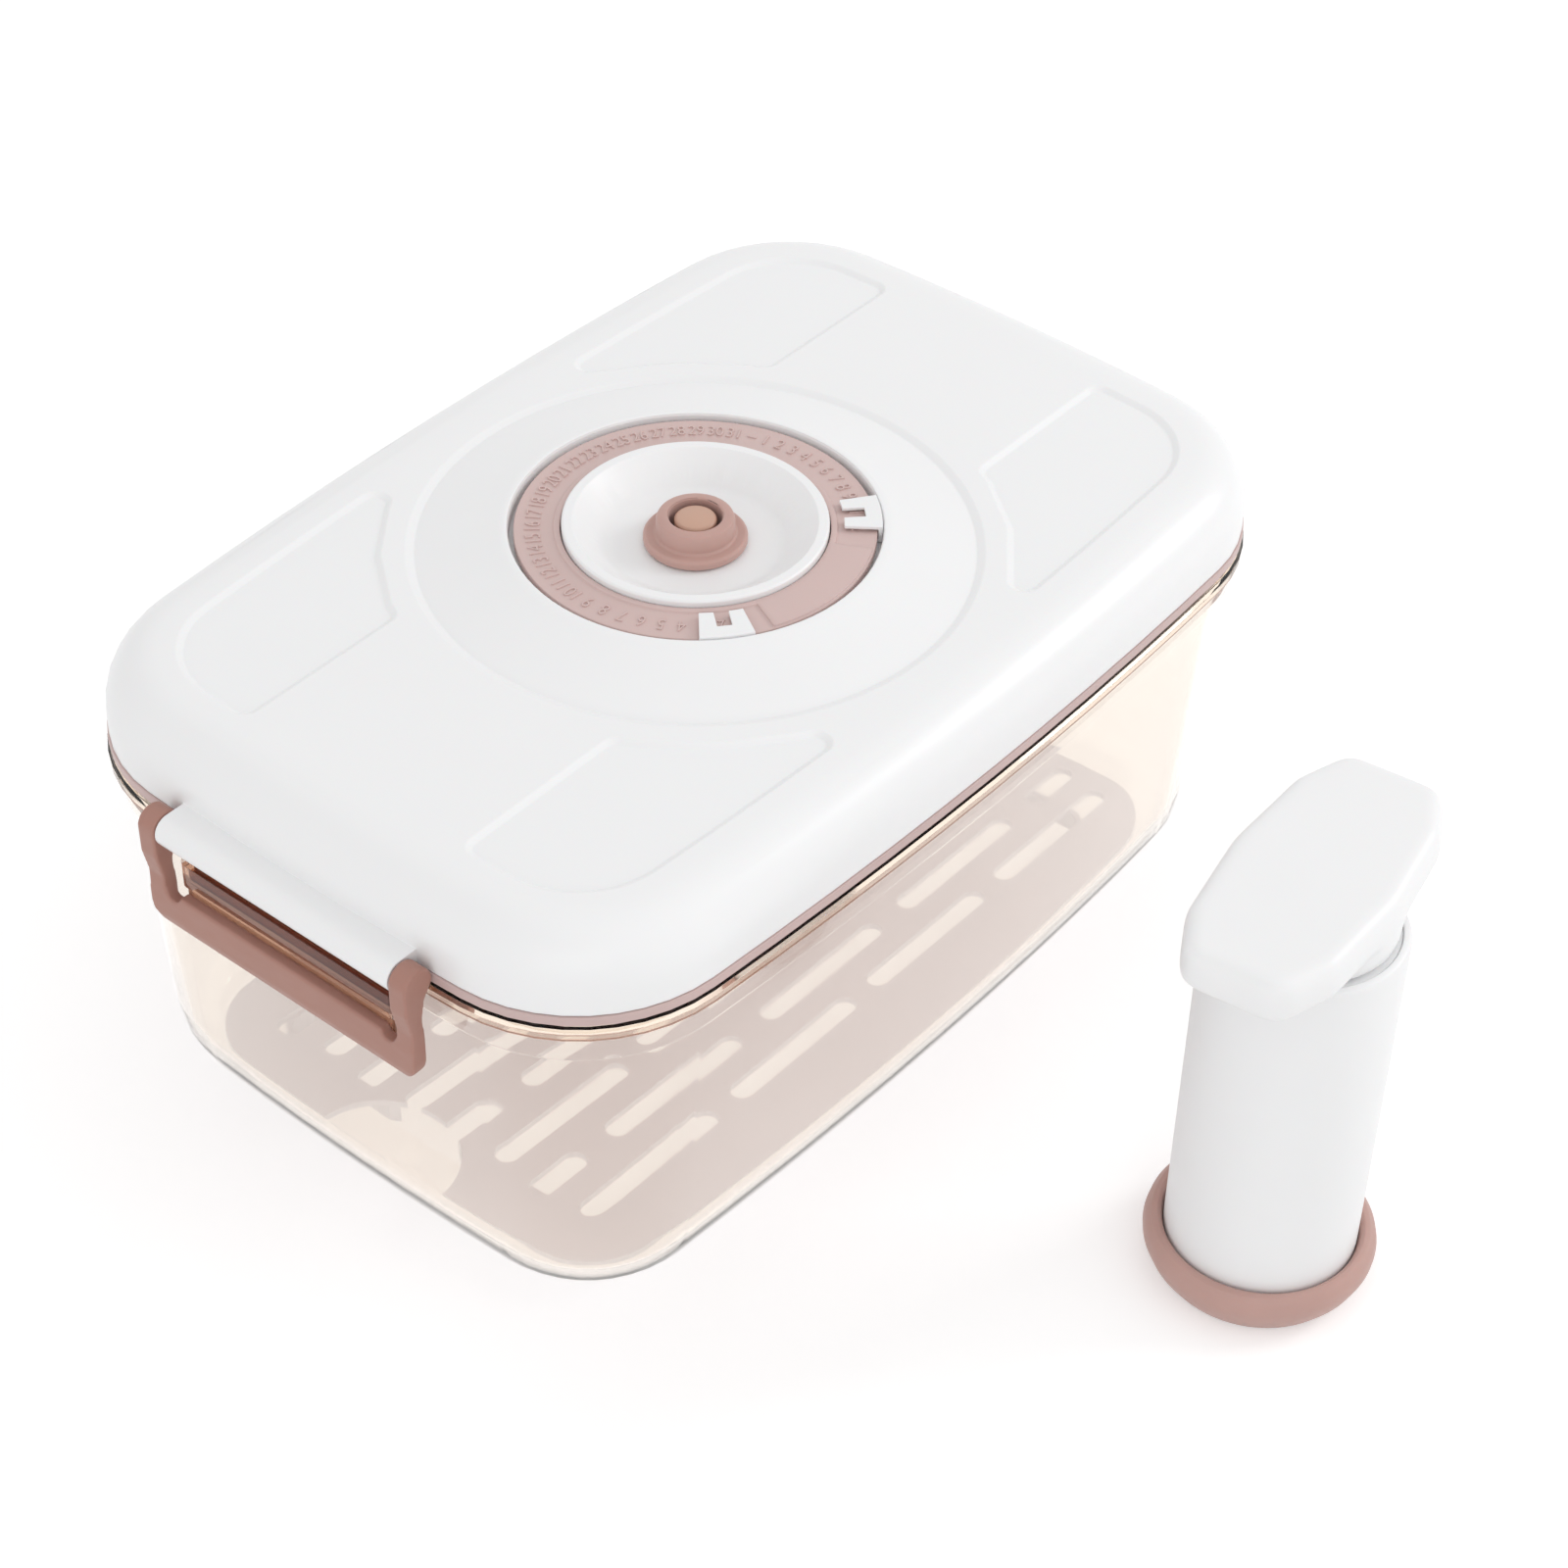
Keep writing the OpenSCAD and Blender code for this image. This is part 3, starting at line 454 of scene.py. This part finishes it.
class Workshop:
    """Keeps the frame and makes pieces for it."""

    same_point = 0.002
    flat_angle = 0.4

    def __init__(self, frame: dict) -> None:
        """Keeps the frame.
        """
        self.nodes = frame["nodes"]
        self.made: dict[str, bpy.types.Material] = {}

    def finish(self, finish: Finish) -> bpy.types.Material:
        """Returns a finish's material, made once.

        Args:
            finish: The finish.

        Returns:
            Its material.
        """
        if finish.name not in self.made:
            self.made[finish.name] = finish.material()
        return self.made[finish.name]

    def keep(self, node: str, finish: Finish) -> None:
        """Gives a CAD node a finish and leaves its shape.

        Args:
            node: The node's name.
            finish: Its finish.
        """
        materials = self.nodes[node].data.materials
        materials.clear()
        materials.append(self.finish(finish))
        LOG.info("finish %s on %s", finish.name, node)

    def show(self, bm: bmesh.types.BMesh, name: str, body: Body, finish: Finish,
             bevel: float = 0.0, segments: int = 2,
             sharp: float = 32.0) -> bpy.types.Object:
        """Makes a finished piece from a mesh in metres.

        Args:
            bm: The mesh, which is freed.
            name: The piece's name.
            body: The body that it rides on.
            finish: Its finish.
            bevel: Radius of its rounded edges in millimetres, or 0.
            segments: Steps across each rounded edge.
            sharp: Angle in degrees above which an edge is an edge.

        Returns:
            The piece.
        """
        for face in bm.faces:
            face.smooth = True
        for edge in bm.edges:
            edge.smooth = edge.calc_face_angle(0.0) < math.radians(sharp)
        mesh = bpy.data.meshes.new(name)
        bm.to_mesh(mesh)
        bm.free()
        mesh.materials.append(self.finish(finish))
        piece = bpy.data.objects.new(name, mesh)
        bpy.context.collection.objects.link(piece)
        if bevel:
            rounding = piece.modifiers.new("rounded_edges", "BEVEL")
            rounding.width = bevel * MM
            rounding.segments = segments
            rounding.limit_method = "ANGLE"
            rounding.angle_limit = math.radians(sharp)
            rounding.harden_normals = True
            rounding.use_clamp_overlap = True
        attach(piece, body.value)
        LOG.info("piece %s: %d faces", name, len(mesh.polygons))
        return piece

    def copy(self, node: str) -> bmesh.types.BMesh:
        """Copies a CAD node's mesh with its flat faces merged.

        Args:
            node: The node's name.

        Returns:
            The copy in metres.
        """
        bm = bmesh.new()
        bm.from_mesh(self.nodes[node].data)
        bmesh.ops.remove_doubles(bm, verts=bm.verts, dist=self.same_point * MM)
        bmesh.ops.dissolve_limit(bm, angle_limit=math.radians(self.flat_angle),
                                 verts=bm.verts, edges=bm.edges,
                                 use_dissolve_boundaries=False)
        return bm

    def soften(self, node: str, body: Body, finish: Finish, bevel: float,
               segments: int = 2, sharp: float = 32.0) -> bpy.types.Object:
        """Shows a CAD node by a merged copy with rounded edges.

        Args:
            node: The node's name.
            body: The body that it rides on.
            finish: Its finish.
            bevel: Radius of its rounded edges in millimetres.
            segments: Steps across each rounded edge.
            sharp: Angle in degrees above which an edge is an edge.

        Returns:
            The copy.
        """
        piece = self.show(self.copy(node), f"{node}_soft", body, finish, bevel, segments, sharp)
        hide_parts(node)
        return piece


@dataclass(frozen=True)
class Softener:
    """Turns a solid into a moulded form with every edge rounded. Lengths are in mm."""

    grid: float
    passes: int
    plan_passes: int = 0
    factor: float = 0.5

    def apply(self, piece: bpy.types.Object) -> None:
        """Adds the live steps to a piece.

        Args:
            piece: The piece.
        """
        remesh = piece.modifiers.new("even_mesh", "REMESH")
        remesh.mode = "VOXEL"
        remesh.voxel_size = self.grid * MM
        remesh.use_smooth_shade = True
        smooth = piece.modifiers.new("rounding", "SMOOTH")
        smooth.factor = self.factor
        smooth.iterations = self.passes
        if self.plan_passes:
            plan = piece.modifiers.new("rounding_in_plan", "SMOOTH")
            plan.factor = self.factor
            plan.iterations = self.plan_passes
            plan.use_z = False


@dataclass
class DateRing:
    """The fixed ring with its sunken track and its blank sector. Lengths are in millimetres."""

    hole_r: float = 30.9
    band_r: float = 32.4
    blank_r: float = 41.0
    ring_r: float = 41.5
    foot_r: float = 40.3
    foot_h: float = 1.1
    bottom_z: float = 125.8
    track_z: float = 128.8
    rise: float = 0.5
    round: float = 0.22
    blank_from: float = 245.6
    blank_to: float = 298.4
    ramp: float = 0.4
    ramp_steps: int = 6
    step: float = 2.0
    sharp: float = 50.0

    def lift(self, angle: float) -> float:
        """Returns how far the track is raised at an angle.

        Args:
            angle: The angle in degrees.

        Returns:
            The share, from 0 to 1.
        """
        inside = min(angle - self.blank_from, self.blank_to - angle)
        part = min(max(inside / self.ramp, 0.0), 1.0)
        return part * part * (3.0 - 2.0 * part)

    def stations(self) -> list[float]:
        """Works out the angles of the loft, closer together at the blank sector's ends.

        Returns:
            The angles in degrees, in order.
        """
        count = round(360.0 / self.step)
        angles = {i * 360.0 / count for i in range(count)}
        for i in range(self.ramp_steps + 1):
            angles.add(self.blank_from + self.ramp * i / self.ramp_steps)
            angles.add(self.blank_to - self.ramp * i / self.ramp_steps)
        return sorted(angles)

    def profile(self, lift: float) -> list[tuple[float, float]]:
        """Makes the ring's section.

        Args:
            lift: How far the track is raised, from 0 to 1.

        Returns:
            Radius and height of each point, round the section.
        """
        a = self.round
        top = self.track_z + self.rise
        floor = self.track_z + self.rise * lift
        gap = self.rise * (1.0 - lift)
        drop = self.rise * lift
        return [
            (self.hole_r, self.bottom_z), (self.hole_r, top - a),
            (self.hole_r + 0.3 * a, top - 0.3 * a), (self.hole_r + a, top),
            (self.band_r - a, top), (self.band_r - 0.3 * a, top - 0.15 * gap),
            (self.band_r + 0.1 * a, top - 0.5 * gap), (self.band_r + 0.5 * a, top - 0.85 * gap),
            (self.band_r + 1.2 * a, floor), (self.blank_r - 1.2 * a, floor),
            (self.blank_r - 0.5 * a, floor - 0.12 * drop),
            (self.blank_r - 0.1 * a, floor - 0.5 * drop),
            (self.blank_r + 0.3 * a, floor - 0.88 * drop), (self.blank_r + a, self.track_z),
            (self.ring_r - a, self.track_z), (self.ring_r - 0.3 * a, self.track_z - 0.3 * a),
            (self.ring_r, self.track_z - a), (self.ring_r, self.bottom_z + self.foot_h),
            (self.foot_r, self.bottom_z + self.foot_h), (self.foot_r, self.bottom_z),
        ]

    def build(self, shop: Workshop) -> None:
        """Lofts the ring round its axis.

        Args:
            shop: The workshop.
        """
        bm = bmesh.new()
        rows = []
        for angle in self.stations():
            a = math.radians(angle)
            rows.append([bm.verts.new((r * math.cos(a) * MM, r * math.sin(a) * MM, z * MM))
                         for r, z in self.profile(self.lift(angle))])
        for this, after in zip(rows, rows[1:] + rows[:1]):
            for k, corner in enumerate(this):
                n = (k + 1) % len(this)
                bm.faces.new((corner, this[n], after[n], after[k]))
        bmesh.ops.recalc_face_normals(bm, faces=bm.faces)
        piece = shop.show(bm, "date_ring_soft", Body.LID, DIAL, sharp=self.sharp)
        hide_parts("date_ring")


@dataclass
class DialNumbers:
    """Raised numbers round the date ring. Lengths are in millimetres."""

    track_z: float
    sink: float = 0.15
    rise: float = 0.28
    height: float = 3.75
    base_r: float = 35.45
    squeeze: float = 0.78
    day_one: float = 237.1
    day_step: float = 7.02
    month_one: float = 14.4
    month_step: float = 5.75
    mark_angle: float = 19.9
    mark_out: float = 1.6
    mark_size: tuple[float, float] = (2.2, 0.5)
    mark_bevel: float = 0.1
    font_scale: float = 1.38
    edge_round: float = 0.05
    thin: float = -0.08
    sharp: float = 50.0
    same_point: float = 0.001

    def numeral(self, text: str, angle: float) -> bmesh.types.BMesh:
        """Makes one raised number, its top pointing outwards.

        Args:
            text: The digits.
            angle: Its angle in degrees, counter-clockwise from +X.

        Returns:
            The number's mesh in metres.
        """
        curve = bpy.data.curves.new("numeral", "FONT")
        curve.body = text
        curve.align_x = "CENTER"
        curve.size = self.height * self.font_scale
        curve.extrude = (self.sink + self.rise) / 2
        curve.bevel_depth = self.edge_round
        curve.offset = self.thin
        curve.resolution_u = 4
        holder = bpy.data.objects.new("numeral", curve)
        bpy.context.collection.objects.link(holder)
        mesh = bpy.data.meshes.new_from_object(holder)
        bpy.data.objects.remove(holder)
        bpy.data.curves.remove(curve)
        bm = bmesh.new()
        bm.from_mesh(mesh)
        bpy.data.meshes.remove(mesh)
        bmesh.ops.remove_doubles(bm, verts=bm.verts, dist=self.same_point)
        lift = self.track_z + (self.rise - self.sink) / 2
        move = (Matrix.Scale(MM, 4) @ Matrix.Rotation(math.radians(angle - 90.0), 4, "Z")
                @ Matrix.Translation((0.0, self.base_r, lift))
                @ Matrix.Diagonal((self.squeeze, 1.0, 1.0, 1.0)))
        bmesh.ops.transform(bm, matrix=move, verts=bm.verts)
        return bm

    def build(self, shop: Workshop) -> None:
        """Makes all the days, the months and the dividing mark.

        Args:
            shop: The workshop.
        """
        whole = bmesh.new()
        marks = [(str(d), self.day_one - (d - 1) * self.day_step) for d in range(1, 32)]
        marks += [(str(m), self.month_one - (m - 1) * self.month_step) for m in range(1, 13)]
        for text, angle in marks:
            part = self.numeral(text, angle)
            mesh = bpy.data.meshes.new("part")
            part.to_mesh(mesh)
            part.free()
            whole.from_mesh(mesh)
            bpy.data.meshes.remove(mesh)
        self.divider(whole)
        shop.show(whole, "dial_numbers", Body.LID, DIAL, sharp=self.sharp)

    def divider(self, bm: bmesh.types.BMesh) -> None:
        """Adds a small raised bar between the days and the months.

        Args:
            bm: The mesh to add to.
        """
        bar = bmesh.ops.create_cube(bm, size=1.0)["verts"]
        edges = list({e for v in bar for e in v.link_edges})
        bmesh.ops.scale(bm, vec=(*self.mark_size, self.sink + self.rise), verts=bar)
        made = bmesh.ops.bevel(bm, geom=edges, offset=self.mark_bevel, offset_type="OFFSET",
                               segments=2, profile=0.5, affect="EDGES", material=-1)
        verts = list({v for f in made["faces"] for v in f.verts} | {v for v in bar if v.is_valid})
        lift = self.track_z + (self.rise - self.sink) / 2
        move = (Matrix.Scale(MM, 4) @ Matrix.Rotation(math.radians(self.mark_angle - 90.0), 4, "Z")
                @ Matrix.Translation((0.0, self.base_r + self.mark_out, lift)))
        bmesh.ops.transform(bm, matrix=move, verts=verts)


@dataclass
class Tub:
    """The clear tub and the drain tray in it. Lengths are in millimetres."""

    rim_bevel: float = 0.25
    rim_sharp: float = 40.0
    tray_bevel: float = 0.35
    rib: Place = (131.5, 0.0, 87.4)
    rib_size: Place = (3.2, 63.0, 7.0)
    rib_bevel: float = 0.6

    def build(self, shop: Workshop) -> None:
        """Builds both pieces.

        Args:
            shop: The workshop.
        """
        shop.soften("tub", Body.TUB, CLEAR, self.rim_bevel, 2, self.rim_sharp)
        shop.soften("drain_tray", Body.TRAY, TRAY, self.tray_bevel)
        # Strips of painted shade in the recesses behind the latches.
        for name, side in (("front_ledge_shade", -1.0), ("rear_ledge_shade", 1.0)):
            self.ledge_rib(shop, name, side)

    def ledge_rib(self, shop: Workshop, name: str, side: float) -> None:
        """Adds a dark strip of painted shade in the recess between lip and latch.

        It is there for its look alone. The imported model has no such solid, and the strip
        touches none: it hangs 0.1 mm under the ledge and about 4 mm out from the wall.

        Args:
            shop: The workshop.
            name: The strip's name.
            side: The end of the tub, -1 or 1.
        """
        bm = bmesh.new()
        bmesh.ops.create_cube(bm, size=1.0)
        bmesh.ops.scale(bm, vec=Vector(self.rib_size) * MM, verts=bm.verts)
        place = Vector((side * self.rib[0], self.rib[1], self.rib[2])) * MM
        bmesh.ops.translate(bm, vec=place, verts=bm.verts)
        shop.show(bm, name, Body.TUB, SHADE_STRIP, self.rib_bevel, 3)


@dataclass
class Lid:
    """The lid, its dial and its seals. Lengths are in millimetres."""

    shell_bevel: float = 0.55
    small_bevel: float = 0.25
    panel_z: float = 123.7
    panel_slope: float = 1.5
    shell_sharp: float = 17.0
    moat_z: float = 123.8
    moat_r: float = 66.3
    moat_span: tuple[float, float] = (2.1, 0.1)
    panel_gap: float = 1.0
    past_edge: float = 200.0
    touch: float = 0.02
    step_height: float = 1.0
    flat_normal: float = 0.999
    wall_normal: float = 0.1
    pointer: Softener = Softener(0.11, 5)

    def build(self, shop: Workshop) -> None:
        """Builds the lid's pieces.

        Args:
            shop: The workshop.
        """
        self.shell(shop)
        shop.soften("lid_inner_plate", Body.LID, PLATE, self.small_bevel)
        shop.keep("lid_gasket", SOFT)
        ring = DateRing()
        ring.build(shop)
        shop.soften("dial_bowl", Body.LID, WHITE, self.small_bevel, 3)
        shop.keep("bowl_gasket", SOFT)
        shop.soften("valve_guard", Body.LID, WHITE, self.small_bevel)
        for node, body in (("day_pointer", Body.DAY), ("month_pointer", Body.MONTH)):
            self.pointer.apply(shop.soften(node, body, WHITE, 0.0))
        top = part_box("date_ring")[1][2] / MM
        DialNumbers(track_z=top - ring.rise).build(shop)

    def shell(self, shop: Workshop) -> None:
        """Shows the shell with gentle slopes round its panels and its round field.

        Args:
            shop: The workshop.
        """
        bm = shop.copy("lid_shell")
        panels = self.open_steps(bm, self.panel_z, self.moat_r + self.panel_gap, self.past_edge)
        for rim in panels:
            filled = bmesh.ops.edgeloop_fill(bm, edges=rim)["faces"]
            bmesh.ops.inset_region(bm, faces=filled, thickness=self.panel_slope * MM,
                                   use_even_offset=True, use_boundary=True)
            for corner in {v for f in filled for v in f.verts}:
                corner.co.z = self.panel_z * MM
        moat = self.open_steps(bm, self.moat_z, self.moat_r - self.moat_span[0],
                               self.moat_r + self.moat_span[1])
        bmesh.ops.bridge_loops(bm, edges=[e for rim in moat for e in rim])
        bmesh.ops.recalc_face_normals(bm, faces=bm.faces)
        piece = shop.show(bm, "lid_shell_soft", Body.LID, SHELL, self.shell_bevel, 3,
                          self.shell_sharp)
        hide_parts("lid_shell")

    def open_steps(self, bm: bmesh.types.BMesh, floor: float, least: float,
                   most: float) -> list[list[bmesh.types.BMEdge]]:
        """Removes the low walls and floors of sunk places between two radii.

        Args:
            bm: The mesh.
            floor: Height of the floors.
            least: Least radius of the places.
            most: Greatest radius of the places.

        Returns:
            The rims that are left, each a list of edges.
        """
        def sunk(face: bmesh.types.BMFace) -> bool:
            """Tells whether a face is a floor or a low wall of a sunk place.

            Args:
                face: The face.

            Returns:
                Whether it is.
            """
            heights = [v.co.z / MM - floor for v in face.verts]
            if not all(least < v.co.xy.length / MM < most for v in face.verts):
                return False
            flat = face.normal.z > self.flat_normal and max(heights) < self.touch
            upright = abs(face.normal.z) < self.wall_normal
            wall = upright and max(heights) < self.step_height
            return min(heights) > -self.touch and (flat or wall)

        doomed = [face for face in bm.faces if sunk(face)]
        bmesh.ops.delete(bm, geom=doomed, context="FACES")
        left = {e for e in bm.edges if e.is_boundary}
        rims = []
        while left:
            rim, todo = [], [left.pop()]
            while todo:
                edge = todo.pop()
                rim.append(edge)
                near = {e for v in edge.verts for e in v.link_edges if e in left}
                left -= near
                todo += near
            rims.append(rim)
        LOG.info("opened %d faces, %d rims", len(doomed), len(rims))
        return rims


@dataclass
class Valve:
    """The soft valve and its release button. Lengths are in millimetres."""

    seal_bevel: float = 0.3
    button_bevel: float = 0.25

    def build(self, shop: Workshop) -> None:
        """Builds the valve's pieces.

        Args:
            shop: The workshop.
        """
        shop.soften("valve_seal", Body.LID, VALVE, self.seal_bevel, 3)
        shop.soften("release_button", Body.BUTTON, BUTTON, self.button_bevel, 3)
        shop.keep("release_spring", STEEL)
        shop.keep("vent_washer", SOFT)


@dataclass
class Latches:
    """The two end latches."""

    softener: Softener = Softener(0.34, 12)

    def build(self, shop: Workshop) -> None:
        """Builds both latches.

        Args:
            shop: The workshop.
        """
        for node, body in (("front_latch", Body.FRONT_LATCH), ("rear_latch", Body.REAR_LATCH)):
            latch = shop.soften(node, body, ROSE, 0.0)
            self.softener.apply(latch)


@dataclass
class Pump:
    """The hand pump. Lengths are in millimetres."""

    bevel: float = 0.3
    plunger_bevel: float = 0.2
    handle: Softener = Softener(0.55, 4, 70)

    def build(self, shop: Workshop) -> None:
        """Builds the pump's pieces.

        Args:
            shop: The workshop.
        """
        shop.soften("pump_barrel", Body.PUMP, WHITE, self.bevel, 2)
        shop.soften("pump_cup", Body.PUMP, VALVE, self.bevel, 3)
        shop.soften("pump_foot", Body.PUMP, WHITE, self.bevel, 2)
        shop.soften("pump_collar", Body.PUMP, WHITE, self.bevel, 2)
        shop.keep("inlet_flap", VALVE)
        shop.soften("pump_plunger", Body.PLUNGER, WHITE, self.plunger_bevel, 2)
        shop.keep("piston_head", WHITE)
        shop.keep("piston_seal", VALVE)
        shop.keep("outlet_flap", VALVE)
        handle = shop.soften("pump_handle", Body.PLUNGER, WHITE, 0.0)
        self.handle.apply(handle)


@dataclass(frozen=True)
class StudioCamera:
    """The camera at the photograph's viewing angle. Lengths are in millimetres."""

    lens: float = 81.47
    azimuth: float = -49.737
    elevation: float = 42.156
    roll: float = 0.43
    distance: float = 776.06
    target: Place = (-53.65, -53.66, 93.33)
    shift: tuple[float, float] = (0.0405, 0.0511)

    def build(self) -> None:
        """Creates the camera and makes it the scene's own."""
        a, e = math.radians(self.azimuth), math.radians(self.elevation)
        back = Vector((math.sin(a) * math.cos(e), -math.cos(a) * math.cos(e), math.sin(e)))
        right = Vector((math.cos(a), math.sin(a), 0.0))
        up = back.cross(right)
        r = math.radians(self.roll)
        across = right * math.cos(r) + up * math.sin(r)
        above = up * math.cos(r) - right * math.sin(r)
        data = bpy.data.cameras.new("studio_camera")
        data.lens = self.lens
        data.sensor_width = 36.0
        data.shift_x, data.shift_y = self.shift
        data.clip_start = 0.01
        camera = bpy.data.objects.new("studio_camera", data)
        place = (Vector(self.target) + back * self.distance) * MM
        turn = Matrix((across, above, back)).transposed().to_4x4()
        camera.matrix_world = Matrix.Translation(place) @ turn
        bpy.context.collection.objects.link(camera)
        bpy.context.scene.camera = camera


@dataclass(frozen=True)
class Studio:
    """Floor, soft lights and a white surround. Lengths are in metres."""

    floor_half: float = 3.0
    floor_white: float = 0.82
    floor_glow: float = 0.34
    sky: float = 0.85
    key_power: float = 4.2
    fill_power: float = 2.2
    bounces: int = 20
    key_place: Place = (1.0, -0.75, 0.8)
    key_size: float = 0.5
    fill_place: Place = (-1.0, -0.7, 0.55)
    fill_size: float = 0.9
    aim: Place = (-0.03, -0.05, 0.08)

    def build(self) -> None:
        """Builds the floor, the lights and the world."""
        self.floor()
        self.lamp("key", self.key_place, self.key_size, self.key_power)
        self.lamp("fill", self.fill_place, self.fill_size, self.fill_power)
        self.world()
        scene = bpy.context.scene
        scene.view_settings.view_transform = "Standard"
        scene.cycles.max_bounces = self.bounces
        scene.cycles.transmission_bounces = self.bounces
        scene.cycles.transparent_max_bounces = 2 * self.bounces

    @staticmethod
    def seen(tree: bpy.types.NodeTree) -> bpy.types.NodeSocket:
        """Adds a value that is 1 for rays from the camera, or from gloss or clear plastic.

        Args:
            tree: The node tree to add to.

        Returns:
            The value's socket.
        """
        path = tree.nodes.new("ShaderNodeLightPath")
        value = path.outputs["Is Camera Ray"]
        for name in ("Is Glossy Ray", "Is Transmission Ray"):
            total = tree.nodes.new("ShaderNodeMath")
            total.operation = "MAXIMUM"
            tree.links.new(value, total.inputs[0])
            tree.links.new(path.outputs[name], total.inputs[1])
            value = total.outputs[0]
        return value

    def floor(self) -> None:
        """Builds the floor, which shows nearly white and keeps the shadow."""
        bm = bmesh.new()
        bmesh.ops.create_grid(bm, x_segments=1, y_segments=1, size=self.floor_half)
        mesh = bpy.data.meshes.new("floor")
        bm.to_mesh(mesh)
        bm.free()
        floor = bpy.data.objects.new("floor", mesh)
        bpy.context.collection.objects.link(floor)
        material = bpy.data.materials.new("floor_paper")
        material.use_nodes = True
        tree = material.node_tree
        tree.nodes.clear()
        out = tree.nodes.new("ShaderNodeOutputMaterial")
        paper = tree.nodes.new("ShaderNodeBsdfDiffuse")
        paper.inputs["Color"].default_value = (self.floor_white,) * 3 + (1.0,)
        glow = tree.nodes.new("ShaderNodeEmission")
        glow.inputs["Color"].default_value = (self.floor_glow,) * 3 + (1.0,)
        tree.links.new(self.seen(tree), glow.inputs["Strength"])
        both = tree.nodes.new("ShaderNodeAddShader")
        tree.links.new(paper.outputs[0], both.inputs[0])
        tree.links.new(glow.outputs[0], both.inputs[1])
        tree.links.new(both.outputs[0], out.inputs["Surface"])
        mesh.materials.append(material)

    def world(self) -> None:
        """Builds the surround: soft light for surfaces, white to look at."""
        world = bpy.data.worlds.new("surround")
        bpy.context.scene.world = world
        world.use_nodes = True
        tree = world.node_tree
        background = tree.nodes["Background"]
        background.inputs["Color"].default_value = (1.0, 1.0, 1.0, 1.0)
        level = tree.nodes.new("ShaderNodeMapRange")
        level.inputs["To Min"].default_value = self.sky
        level.inputs["To Max"].default_value = 1.0
        tree.links.new(self.seen(tree), level.inputs["Value"])
        tree.links.new(level.outputs["Result"], background.inputs["Strength"])

    def lamp(self, name: str, place: Place, size: float, power: float) -> None:
        """Adds one square area lamp aimed at the object.

        Args:
            name: The lamp's name.
            place: Where it hangs, in metres.
            size: The side of its square, in metres.
            power: Its power in watts.
        """
        data = bpy.data.lights.new(name, "AREA")
        data.energy = power
        data.size = size
        lamp = bpy.data.objects.new(name, data)
        lamp.location = place
        aim = Vector(self.aim) - Vector(place)
        lamp.rotation_euler = aim.to_track_quat("-Z", "Y").to_euler()
        bpy.context.collection.objects.link(lamp)


def main(frame: dict) -> None:
    """Builds the scene.
    """
    logging.basicConfig(level=logging.INFO, format="%(message)s")
    StudioCamera().build()
    Studio().build()
    shop = Workshop(frame)
    for part in (Tub(), Lid(), Valve(), Latches(), Pump()):
        LOG.info("building %s", type(part).__name__)
        part.build(shop)


if __name__ == "__main__":
    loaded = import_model()
    main(loaded)
